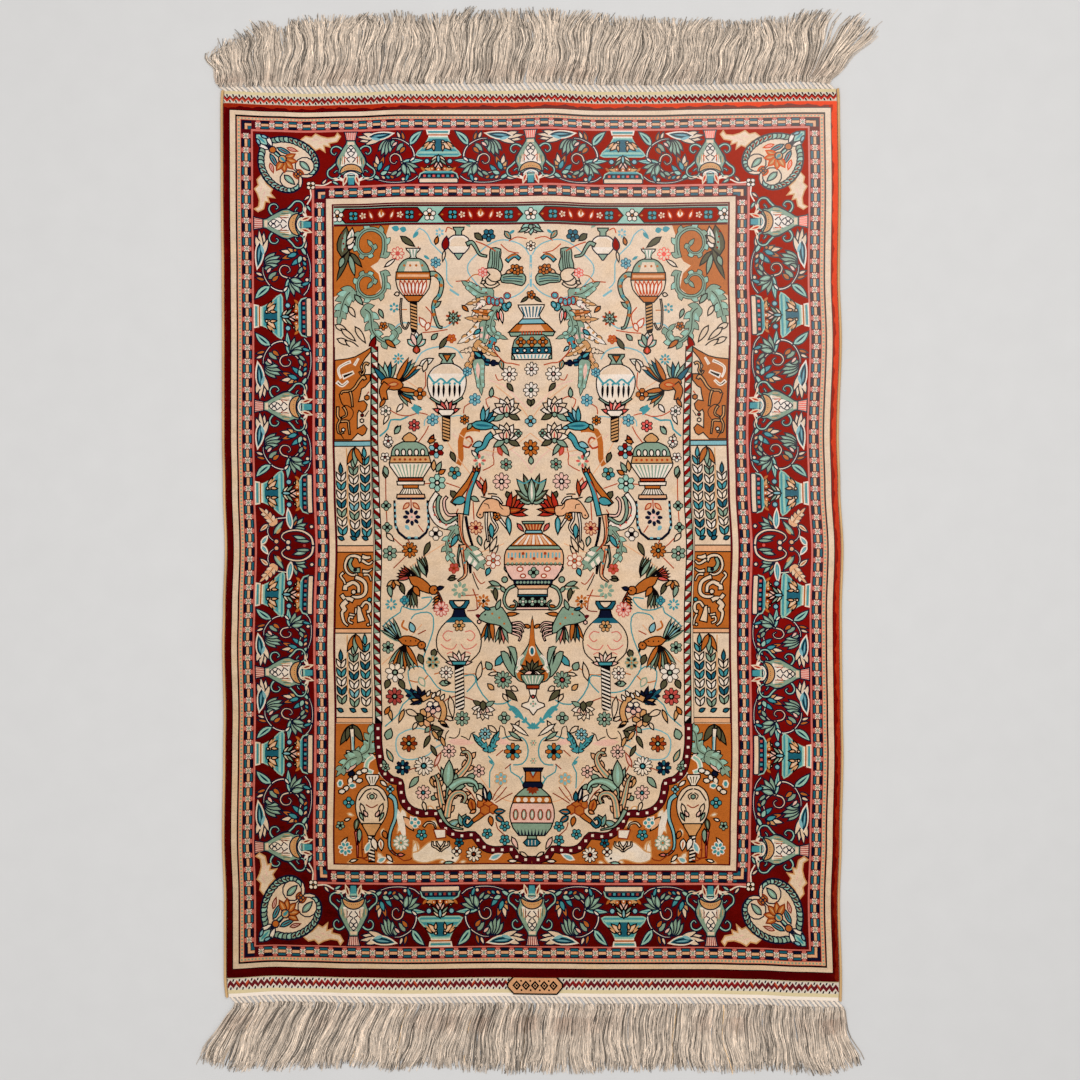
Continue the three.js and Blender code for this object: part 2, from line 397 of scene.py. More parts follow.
    def acanthus(self, points, width, dye, ink="ink", second=None, lobes=5, side=0, tip=0.4, reach=1.3):
        """A feathered leaf: a tapering spine with lobes on both sides, or on one of them."""
        spine = smooth(points, steps=4)
        ahead = np.gradient(spine)
        ahead = ahead / np.maximum(abs(ahead), 1e-6)
        end = spine[-1] + ahead[-1] * width * 0.8
        parts = [(blade(spine[-3], end, width * tip * 1.5), dye),
                 (ribbon(spine, width * 0.8, width * tip * 0.8), dye)]
        for i in range(lobes):
            t = (i + 0.4) / lobes
            k = int(t * (len(spine) - 1))
            long = width * (reach - 0.5 * t)
            for way in (1, -1):
                if side in (0, way):
                    far = spine[k] + (ahead[k] * 0.7 + 1j * way * ahead[k]) * long
                    lobe = second if second and i % 2 else dye
                    parts.append((blade(spine[k] - ahead[k] * width * 0.35, far, width * 0.85), lobe))
        for outline, _ in parts if ink else ():
            self.lay(grown(outline, INK_WIDTH * 0.6), ink)
        for outline, part_dye in reversed(parts):
            self.lay(outline, part_dye)
        if ink and width > 4:
            self.lay(ribbon(spine[1:-1], width * 0.13, width * 0.1), ink)


# The bands: how far each lies in from the sides, the top and the bottom of the pile
BANDS = {
    "edge": ((0.0, 0.0, 0.0), "wine"),
    "outermost line": ((5.5, 6.0, 8.3), "ink"),
    "outer cream": ((6.3, 6.8, 9.1), "cream"),
    "dark line": ((11.7, 11.0, 13.7), "ink"),
    "dotted line": ((13.2, 12.9, 15.5), "rose"),
    "outer guard": ((17.3, 15.8, 19.5), "maroon"),
    "outer rose line": ((27.4, 24.8, 30.0), "rose"),
    "main border": ((29.2, 26.8, 31.2), "crimson"),
    "inner rose line": ((87.8, 80.8, 93.0), "rose"),
    "inner guard": ((90.0, 82.7, 95.0), "maroon"),
    "maroon line": ((100.6, 92.8, 106.5), "maroon"),
    "inner cream": ((102.0, 93.6, 107.7), "cream"),
    "red line": ((107.6, 99.0, 112.6), "maroon"),
    "field": ((109.3, 100.6, 114.0), "cream"),
}
BORDER_DEPTH = 58.0
GUARD_DEPTH = 10.0
GUARD_PITCH = 14.0


def inset_box(inset):
    """Corners of the chart's rectangle that lies so far in from the sides, top and bottom."""
    side, top, bottom = inset
    left, right, low = -HALF + side, HALF - side, KNOTS_DOWN - bottom
    return path(left, top, right, top, right, low, left, low)


def lie_along(run, outer, inner, depth):
    """How a band's own points, along it and in from its outer edge, lie on one of its four runs."""
    side, top, bottom = outer
    if run in ("left", "right"):
        way = -1 if run == "left" else 1
        scale = (inner[0] - side) / depth
        return lambda points: way * (HALF - side - points.imag * scale) + 1j * points.real
    if run == "top":
        scale = (inner[1] - top) / depth
        return lambda points: points.real + 1j * (top + points.imag * scale)
    scale = (inner[2] - bottom) / depth
    return lambda points: points.real + 1j * (KNOTS_DOWN - bottom - points.imag * scale)


def lie_in_corner(corner, outer, inner, depth):
    """How points from a band's outer corner, along and down, lie in one of its four corners."""
    way = -1 if "left" in corner else 1
    is_top = "top" in corner
    start = outer[1] if is_top else KNOTS_DOWN - outer[2]
    rise = (inner[1] - outer[1]) if is_top else -(inner[2] - outer[2])
    run = inner[0] - outer[0]
    return lambda points: way * (HALF - outer[0] - points.real * run / depth) + 1j * (
        start + points.imag * rise / depth
    )


def draw_bands(chart):
    """Plain grounds of all the bands, the outermost first."""
    for inset, dye in BANDS.values():
        chart.lay(inset_box(inset), dye)
        if inset[0] == 0.0:
            draw_edge_with_painted_sheen(chart)


def draw_edge_with_painted_sheen(chart):
    """The outermost red band, painted brighter along its right side and top, where light catches the ends of
    its silk: a painted sheen.
    """
    chart.block(HALF - 8, 0, HALF, KNOTS_DOWN, "crimson")
    across, down = np.linspace(-HALF, HALF, 150), np.linspace(0, KNOTS_DOWN, 210)
    for places, upright, depth, dye in (
        (down, False, -1.2, "crimson"), (across, True, KNOTS_DOWN - 1.0, "crimson"),
        (across, True, 3.3, "edge_red"), (down, False, 2.8, "edge_red"),
    ):
        near = depth < 10
        swing = 0.75 * np.sin(places * 0.31) + 0.6 * np.sin(places * 0.083 + 2) + 0.5 * np.sin(places * 0.83)
        if upright:
            ragged = places + 1j * (depth + swing)
            far = path(HALF, 0, -HALF, 0) if near else path(HALF, KNOTS_DOWN, -HALF, KNOTS_DOWN)
        else:
            side = HALF if depth > 0 else -HALF
            ragged = side - depth - 2.4 * np.exp(-places / 260) * (depth > 0) + swing + 1j * places
            far = path(side, KNOTS_DOWN, side, 0)
        chart.lay(np.concatenate([ragged, far]), dye)


def draw_dotted_line(chart):
    outer, inner = BANDS["dotted line"][0], BANDS["outer guard"][0]
    pitch = 3.5
    for run in ("left", "right", "top", "bottom"):
        with chart.carried(lie_along(run, outer, inner, 4.0)):
            first, last = run_ends(run, outer)
            chart.block(first, 0.5, last, 3.5, "peach")
            count = int((last - first) / pitch)
            for i in range(count):
                chart.lay(disc(first + (i + 0.5) * (last - first) / count, 2.0, 1.25, corners=4), "sage")


def run_ends(run, inset):
    """Where a straight run of a band begins and ends, along it."""
    side, top, bottom = inset
    if run in ("left", "right"):
        return top, KNOTS_DOWN - bottom
    return -HALF + side, HALF - side


def draw_guard(chart, outer, inner):
    """A guard band: crossed cream petals and blocks of three bars by turns."""
    for run in ("left", "right", "top", "bottom"):
        with chart.carried(lie_along(run, outer, inner, GUARD_DEPTH)):
            first, last = run_ends(run, inner)
            chart.block(first - 1, 0, last + 1, GUARD_DEPTH, "maroon")
            count = round((last - first) / GUARD_PITCH)
            pitch = (last - first) / count
            for i in range(count):
                centre = first + (i + 0.5) * pitch
                with chart.at(centre, GUARD_DEPTH / 2):
                    draw_crossed_petals(chart)
                with chart.at(centre + pitch / 2, GUARD_DEPTH / 2):
                    draw_three_bars(chart, i, 3.7)
    for corner in ("top left", "top right", "bottom left", "bottom right"):
        with chart.carried(lie_in_corner(corner, outer, inner, GUARD_DEPTH)):
            chart.block(0, 0, GUARD_DEPTH, GUARD_DEPTH, "maroon")
            for near, far, dye in ((1.0, 3.4, "navy"), (3.9, 6.4, "peach"), (6.9, 9.3, "teal")):
                angle = path(near, near, 10.4, near, 10.4, far, far, far, far, 10.4, near, 10.4)
                chart.lay(angle, dye)


def draw_crossed_petals(chart):
    """A small eight-petalled flower on rose, with dark corners."""
    chart.block(-3.2, -4.6, 3.2, 4.6, "maroon")
    chart.block(-2.0, -4.6, 2.0, 4.6, "rose")
    chart.block(-2.9, -2.9, 2.9, 2.9, "maroon")
    for angle in range(0, 360, 45):
        long, dye = (2.9, "pink") if angle % 90 == 0 else (3.6, "pale")
        with chart.carried(lambda points, angle=angle: points * np.exp(1j * math.radians(angle))):
            chart.lay(path(1.0, -0.3, long - 0.6, -0.8, long, 0, long - 0.6, 0.8, 1.0, 0.3), dye)
    chart.lay(disc(0, 0, 1.3, corners=6), "sage")


def draw_three_bars(chart, number, half):
    """Three bars on ink, in one of three pairs of dyes."""
    outer, inner = (("navy", "teal"), ("teal", "teal"), ("teal", "navy"))[number % 3]
    chart.block(-half, -4.6, half, 4.6, "ink")
    chart.block(-half, -3.9, half, -2.0, outer)
    chart.block(-half, -1.3, half, 1.3, "peach")
    chart.block(-half, 2.0, half, 3.9, inner)


# Motifs of the main border. In each, down is inwards from the border's outer edge.


def draw_urn(chart):
    """A ribbed urn with two curling handles, its foot towards the field."""
    for _ in chart.mirrored():
        chart.stem(path(8, 20, 11, 17, 15, 15.6, 19, 17.6, 19.6, 22, 16.4, 24.6, 14.4, 22), 2.6, "mint",
                   "navy", 1.6)
        chart.stem(path(9, 23, 13, 28, 14.4, 33, 19, 38, 23, 41.6, 23, 47, 18.6, 50, 12.6, 49, 11, 44.6, 14,
                        41.6, 17, 44), 2.8, "mint", "navy", 1.6)
    chart.vase(0, (0.5, 6.6, 2.5, 5.8, 9, 4.6, 10.4, 4.4), "pink", "navy")
    chart.stripes(0, 1, 10, 5.6, 4.0, 5, "coral", 0.45)
    chart.vase(0, (9.6, 4.2, 13, 5, 17, 7.6, 23, 11, 29, 14, 34, 15, 40, 12.4, 44, 13, 46, 10), "sage",
               "navy")
    chart.vase(0, (11, 3, 14, 3.6), "cream", None)
    chart.vase(0, (15, 2.6, 20, 4.4, 26, 7, 32, 9.6, 37, 10.4), "pale", None)
    for _ in chart.mirrored():
        for k in range(4):
            chart.block(6.2 + 1.9 * k, 24.5 + 1.7 * k, 7.0 + 1.9 * k, 35, "tan" if k % 2 else "moss")
        chart.stem(path(-0.8, 14.4, 2.6, 17, -0.6, 20, 3.4, 23, 0.6, 26.6, 4.2, 29, 1.4, 33), 1.1, "navy")
        chart.stem(path(2.6, 17, 4.4, 20, 3.4, 23), 0.9, "navy")
        chart.stem(path(4.2, 29, 6.6, 27, 6, 33), 0.9, "rust")
    chart.lay(smooth(path(-11, 45, -9.6, 39.6, -5.4, 36, 0, 34.8, 5.4, 36, 9.6, 39.6, 11, 45, 6, 42.4, 0,
                          41.4, -6, 42.4), True, 2), "tan", "navy")
    for k in range(9):
        chart.dot((k - 4) * 2.1, 39.0 + 0.13 * (k - 4) ** 2, 0.62, "moss" if k % 2 else "orange", None, 4)
    chart.lay(smooth(path(-8, 49, -6.4, 44.6, 0, 42.4, 6.4, 44.6, 8, 49, 4, 47.4, 0, 46.8, -4, 47.4),
                     True, 2),
              "pale", "navy")
    chart.stem(path(-5.6, 47.6, 0, 44.8, 5.6, 47.6), 0.9, "turquoise")
    chart.vase(0, (47.4, 5, 50, 3.8, 57.4, 3.2), "turquoise", "navy")
    chart.vase(0, (47.6, 3.4, 49.4, 2.6), "mint", None)
    for _ in chart.mirrored():
        chart.stem(path(4, 54, 9, 52.6, 15, 50.2), 1.1, "cream")
        chart.leaf(7, 53, 12, 48.6, 2.4, "pale", None)
        chart.leaf(13, 50.5, 18.5, 50, 2.4, "cream", None)
        chart.leaf(4.6, 47.4, 7.6, 57, 3, "edge_red", "cream")


def draw_chalice(chart):
    """A wide turquoise bowl on a stem of leaves, over a stepped foot."""
    chart.vase(0, (0.4, 11.2, 4.2, 10.4), "sage", "pale")
    chart.block(-9.6, 1.2, 9.6, 2.8, "turquoise")
    chart.block(-9.6, 4.6, 9.6, 6.8, "orange")
    chart.vase(0, (6.8, 9, 9, 9), "mint", "pale")
    chart.vase(0, (8.6, 9.4, 12, 11, 18, 15, 23, 20, 26.6, 22, 28, 19), "turquoise", "mint")
    chart.vase(0, (23.0, 18.4, 25.4, 20.6), "mint", None)
    chart.vase(0, (9.6, 4, 14, 2.4, 21, 3.2, 23, 5.4), "teal", None)
    for _ in chart.mirrored():
        chart.leaf(3.0, 12.5, 12.5, 21.4, 5.2, "peach", core="cream")
        chart.leaf(5, 15.5, 4.4, 22.4, 3, "peach")
        chart.leaf(8, 12.6, 15.5, 17.6, 2.6, "peach")
        chart.leaf(9.4, 14.4, 15.4, 20.6, 1.6, "tan", None)
        chart.dot(4.6, 12.4, 1.5, "cream", "ink")
        chart.leaf(0.8, 27.6, 7.6, 33.4, 2.8, "cream")
        chart.leaf(1.6, 31, 8.6, 38, 2.8, "sage")
        chart.leaf(0.6, 34, 4.6, 41, 2.6, "pink")
        chart.dot(11.4, 33.4, 2.7, "sky", "navy", 8)
        chart.leaf(5, 42.6, 15, 41.4, 4.6, "tan")
        chart.dot(6.4, 41.6, 1.4, "pale", "orange")
        chart.dot(10.6, 39.2, 1.2, "cream", "ink", 5)
        chart.leaf(13.6, 44, 17.6, 39.6, 2.6, "orange", None)
    chart.leaf(0, 26.6, 0, 36, 3.4, "sky")
    chart.lay(path(-3, 42, 0, 35.6, 3, 42), "pink", "ink")
    chart.dot(0, 42.4, 1.7, "pale", "orange")
    chart.vase(0, (44.6, 13.6, 47, 18, 51.4, 19.4), "navy", "mint")
    chart.vase(0, (44.4, 12.5, 46.4, 15.0), "turquoise", None)
    for k in range(7):
        chart.block((k - 3) * 4.6 - 1.3, 48, (k - 3) * 4.6 + 1.3, 50.4, ("coral", "turquoise")[k % 2])
    chart.vase(0, (51.6, 18.6, 52.8, 19.4, 56, 19.4, 56.6, 18.4), "cream", "navy")


def draw_vine(chart):
    """The growth between a chalice, at 0, and an urn, at 90, along the border."""
    chart.stem(path(25, 32, 25, 25, 28, 18, 34, 12.8, 41.5, 9.4, 48, 9), 2.2, "pale", "navy", 1.4)
    chart.stem(path(21, 49, 28, 54, 40, 56, 53, 55.4, 64, 52, 76, 48.6), 1.7, "pale", "navy", 1.4)
    chart.stem(path(36, 41, 38, 33, 40, 27.6, 45, 25.4, 49.4, 28.6, 49, 34, 45, 36, 42.6, 33), 2.4,
               "cream", "navy", 1.4)
    chart.stem(path(37, 38, 41, 43, 47, 46, 55, 44), 1.8, "cream", "navy")
    # Tall striped leaf beside the chalice, with two small ones
    chart.leaf(29.5, 16.4, 16.4, 0.8, 7.6, "mint", "navy", "turquoise", 1.2)
    chart.leaf(28, 13, 20, 4, 1.5, "navy", None)
    chart.leaf(35, 11, 37.6, 1.6, 3.4, "orange", "navy")
    chart.leaf(39.4, 9, 42.4, 1.4, 3.4, "cream", "navy")
    # Long feather along the outer edge
    for x, y, x2, y2 in ((62, 9, 82, 10.4), (60, 8, 84, 5.6), (58, 8, 76, 14.6), (64, 6, 78, 2.0)):
        chart.leaf(x, y, x2, y2, 5.4, "cream", "navy")
    chart.leaf(72, 6, 46, 3.4, 8, "turquoise", "pale", bend=-1)
    chart.leaf(70, 6, 50, 4.4, 4.4, "teal", "navy", "sky")
    chart.leaf(60, 10, 70, 7, 3.2, "sky", None)
    # Broad hanging leaf of sage lobes
    for k, (x, y) in enumerate(((62, 22), (59, 27), (54.6, 27.6), (50, 24.6), (47, 20))):
        chart.leaf(50 + 1.8 * (2 - k), 10, x, y, 5.4, "sage", "navy", "mint" if k % 2 else None)
    # Half orange, half sage leaf inside the arc
    chart.leaf(36, 14, 43.6, 23, 5.4, "sage", "navy")
    chart.leaf(34, 18, 40, 25, 4.6, "orange", "navy")
    chart.leaf(42, 12.6, 48, 18, 3.6, "pink", "navy")
    # Leaves of orange, cream and turquoise that close the spiral
    for x, y, x2, y2, dye in (
        (62, 40, 64, 26, "cream"), (60, 40, 56, 27, "orange"), (61, 44, 67, 33, "tan"),
        (57, 46, 50, 37, "turquoise"), (60, 47, 52, 44, "mint"), (62, 43, 58, 33, "turquoise"),
    ):
        chart.leaf(x, y, x2, y2, 4.8, dye, "navy")
    chart.dot(65, 41, 2, "orange", "navy")
    # Sage leaves beside the chalice's foot
    chart.leaf(38, 34, 14.6, 32.4, 5.4, "mint", "navy", "turquoise")
    chart.leaf(24, 29, 30, 34, 3, "pale", "navy")
    for x, y in ((20, 40), (22.6, 46.6), (28.6, 50), (34, 48.4)):
        chart.leaf(36.6, 36, x, y, 5.6, "sage", "navy", "mint" if x > 22 else None)
    chart.leaf(31, 47, 34, 55.6, 3.6, "turquoise", "navy")
    chart.dot(36.4, 52.6, 2.2, "cream", "navy")
    chart.leaf(42, 44, 50, 49, 4, "sage", "navy")
    chart.leaf(38, 44, 44, 51, 3.6, "sage", "navy")
    for x, dye in ((48, "orange"), (52.4, "turquoise"), (57, "peach")):
        chart.leaf(x - 2.4, 52, x + 2.2, 48.4, 3.4, dye, "navy")
    chart.leaf(60, 52, 70, 46, 4, "mint", "navy")
    chart.leaf(66, 51, 75, 52, 3.2, "cream", "navy")


def draw_border_middle(chart):
    """Two scrolled rings and their leaves, where the two halves of a side border meet."""
    for _ in chart.mirrored():
        chart.leaf(10, 16.6, 25, 27.4, 5, "sage", "navy", "mint")
        chart.leaf(11, 19.6, 17, 24.6, 2.6, "tan", None)
        chart.stem(path(27.5, 31, 25.6, 18.5, 20, 13, 13.8, 11, 7.5, 13, 3.8, 17.3), 2.0, "pale", "navy",
                   1.5)
        chart.dot(3.4, 19.4, 2.6, "peach", "navy", 7)
        chart.leaf(5.6, 50, 9.4, 35.6, 5, "sage", "navy", "mint")
        chart.leaf(4.4, 53, 4.6, 38, 3.6, "sage", "navy")
        chart.acanthus(path(21, 18, 28, 13, 35, 6), 4.2, "peach", "navy", "cream", 4)
        chart.leaf(21, 12, 13.4, 3, 5, "cream", "navy", "orange")
        chart.leaf(0.6, 4.6, 8.8, 10.6, 4, "turquoise", "pale", "sky")
        for x, y in ((31, 40), (28, 47), (22.4, 50.4), (17, 49)):
            chart.leaf(16.4, 37, x, y, 5.2, "sage", "navy", "mint" if x < 30 else None)
        chart.leaf(19, 37, 26, 41, 2.4, "orange", "navy")
        chart.leaf(16.6, 34, 36.5, 32, 5.2, "turquoise", "pale", "sky")
        chart.stem(path(0.3, 55.8, 8.8, 53.7, 14.4, 45.7, 15, 35.8, 11.9, 27.1, 7.5, 24.7, 3.6, 28.4),
                   3.0, "cream",
                   "navy", 1.8)
        chart.dot(2.8, 31, 2.6, "cream", "navy", 7)
        chart.dot(19, 54.6, 2.2, "cream", "navy")
    chart.dot(0, 47, 1.6, "coral")


def draw_border_corner(chart):
    """Two feathered cream leaves that curl in from the corner, with a palmette between them."""
    for _ in chart.folded():
        flame = path(46, 9, 52, 4, 58, 5.4, 62, 1.6, 67, 4.4, 74, 6.4, 81, 5.6, 83.6, 1.4, 86.4, 5, 83, 10.4,
                     75, 12, 76, 16, 70, 14, 71, 21, 66, 17, 62, 19, 56, 13)
        chart.lay(flame, "cream", "tan")
        for x, y, x2, y2 in ((58, 9, 66, 6.4), (64, 12, 70, 10), (70, 9.6, 77, 9)):
            chart.leaf(x, y, x2, y2, 1.3, "pink", None)
        chart.stem(path(60, 56.5, 70, 57, 78, 53, 86, 51), 1.3, "pale")
        chart.leaf(68, 56, 73, 50, 3, "cream", "navy")
        chart.leaf(78, 53, 85, 57, 3, "mint", "navy")
    for _ in chart.folded():
        body = smooth(path(6, 10, 14, 8, 26, 5, 38, 5.4, 50, 10, 60, 19, 65, 30, 64.6, 40, 58, 47.6, 49,
                           48.4, 43.6, 44, 38, 38, 26, 24, 12, 12), True, 2)
        chart.lay(body, "cream", "navy")
    for _ in chart.folded():
        rim = smooth(path(16, 10.4, 26, 8.2, 37, 8.6, 48, 13, 57, 20.6, 61.4, 30, 61, 38.6, 55.6, 45),
                     False, 5)
        ahead = np.gradient(rim)
        ahead /= abs(ahead)
        for k in range(1, len(rim) - 3, 2):
            root = rim[k] - 1j * ahead[k] * 2.4
            tip = root + ahead[k] * 7.0 + 1j * ahead[k] * 5.6
            dye = "sage" if k % 4 == 1 else "mint"
            core = "crimson" if 8 < k < 26 else None
            chart.leaf(root.real, root.imag, tip.real, tip.imag, 5.6, dye, "navy", core, corners=3)
        # The curled tip, with an eye-shaped leaf in it
        chart.dot(51, 36, 9.4, "cream", "navy", 12)
        chart.leaf(46.4, 31, 56, 41, 6, "sage", "navy", "mint")
        chart.leaf(44, 40, 50, 44.6, 3.4, "orange", "rust")
        chart.leaf(24, 17, 38, 24, 4.6, "turquoise", "navy", "crimson")
        chart.leaf(34, 17, 44, 20, 3.4, "pink", "rust", "coral")
        chart.leaf(20, 19, 30, 30, 3, "mint", "navy")
        chart.leaf(5, 14, 16, 19, 4.6, "pale", "navy")
    for angle in (-30, 5, 45, 85, 120):
        far = np.exp(1j * math.radians(angle))
        chart.leaf(30 + 1 * far.real, 30 + 1 * far.imag, 30 + 13.5 * far.real, 30 + 13.5 * far.imag, 6.4,
                   "orange", "rust", "tan", corners=3)
    chart.dot(29, 29, 4, "tan", "navy", 8)
    chart.leaf(27, 27, 32, 32, 3.2, "turquoise", None)
    chart.dot(19.5, 19.5, 3.6, "orange", "navy", 8)
    chart.leaf(3, 3, 14.6, 14.6, 8.6, "mint", "navy", "turquoise")
    chart.leaf(8, 4, 15, 7, 3.4, "sky", "navy")
    chart.leaf(4, 8, 7, 15, 3.4, "sky", "navy")
    chart.flower(44.6, 44.6, 3.6, 4, "orange", "pale", "navy")
    chart.flower(57, 57, 4.8, 4, "pale", "orange", turn=45)


SIDE_URNS = (119.0, 302.0, 568.5, 743.5)
SIDE_CHALICES = (212.0, 389.0, 490.5, 650.0)
SIDE_MIDDLE = 444.0
END_URNS = (-179.0, 0.0, 179.0)
END_CHALICES = (-92.0, 92.0)
VINE_LENGTH = 90
VINE_REACH = 110


def draw_main_border(chart):
    outer, inner = BANDS["main border"][0], BANDS["inner rose line"][0]
    sides = [SIDE_URNS, SIDE_CHALICES]
    ends = [END_URNS, END_CHALICES]
    for run in ("left", "right", "top", "bottom"):
        urns, chalices = sides if run in ("left", "right") else ends
        with chart.carried(lie_along(run, outer, inner, BORDER_DEPTH)):
            for chalice in chalices:
                for urn in urns:
                    if abs(urn - chalice) < VINE_REACH:
                        way = 1 if urn > chalice else -1
                        stretch = abs(urn - chalice) / VINE_LENGTH
                        with chart.carried(
                            lambda points, start=chalice, way=way, stretch=stretch: start
                            + way * stretch * points.real + 1j * points.imag
                        ):
                            draw_vine(chart)
            if run in ("left", "right"):
                with chart.at(SIDE_MIDDLE - 3, 0):
                    draw_border_middle(chart)
            for urn in urns:
                with chart.at(urn, 0):
                    draw_urn(chart)
            for chalice in chalices:
                with chart.at(chalice, 0):
                    draw_chalice(chart)
    for corner in ("top left", "top right", "bottom left", "bottom right"):
        with chart.carried(lie_in_corner(corner, outer, inner, BORDER_DEPTH)):
            draw_border_corner(chart)


def draw_cartouche_band(chart):
    """The narrow band of crimson panels over the field."""
    left, right = -196.5, 196.5
    chart.block(left, 101, right, 121.5, "ink")
    chart.block(left, 103, right, 119.2, "mint")
    chart.block(left, 119.6, right, 121.2, "maroon")
    chart.block(left, 102, right, 103, "maroon")
    for centre in (-149, -50, 50, 149):
        with chart.at(centre, 111.2):
            chart.lay(path(-42, 0, -36, -7, 36, -7, 42, 0, 36, 7, -36, 7), "crimson", "ink")
            chart.leaf(-3.6, -1, 3.6, -1, 7, "pale", "rust")
            chart.leaf(0, -6, 0, 1, 2.4, "orange", None)
            for _ in chart.mirrored():
                chart.flower(28, 0, 5, 4, "turquoise", "orange", turn=45)
                chart.flower(18.5, 0, 3.6, 5, "cream", "tan", None)
                chart.leaf(9, 3.6, 12, -4, 3, "pale", "rust")
                chart.leaf(37, 0, 40, 0, 2, "orange", None)
    for centre in (-196, -101, 0, 101, 196):
        chart.flower(np.clip(centre, -193, 193), 111.2, 6.4, 5, "pale", "orange", "ink", turn=-90)


# The field: a niche between two side pillars, hung with lamps and set with vases and birds.
# It is drawn once, with out counted from the middle line, and mirrored.

PANEL_BAND_TOP = 100.6
FIELD_TOP = 121.5
FIELD_BOTTOM = 759.0
FIELD_HALF = 196.7
PILLAR_TOP = 242.0
ARCH_SPRING = 619.0

# Panels of each side pillar: where each ends, going down, and its ground
PILLAR_PANELS = (
    (336.5, "orange"), (341.5, "sky"), (441.0, "cream"), (447.5, "peach"), (524.0, "orange"),
    (528.5, "peach"), (613.0, "cream"), (618.5, "peach"),
)

# The middle of the lobed arch, from where it leaves the pole to the middle line
ARCH = path(
    155, 619, 154.4, 640, 152, 657, 150, 665, 146, 671, 140, 675.5, 132.7, 677.4, 131.4, 685, 129.6, 693.8,
    126, 700.5, 119.4, 706, 110, 709, 102, 708.6, 94, 710, 90.6, 717.6, 85.7, 724.4, 77.6, 730.5, 68, 731.6,
    58, 731, 52.4, 738, 47, 743.5, 39, 746, 30.6, 746, 21, 745, 16, 752, 9, 755, 0, 756,
)
ARCH_WIDTH = 6.4

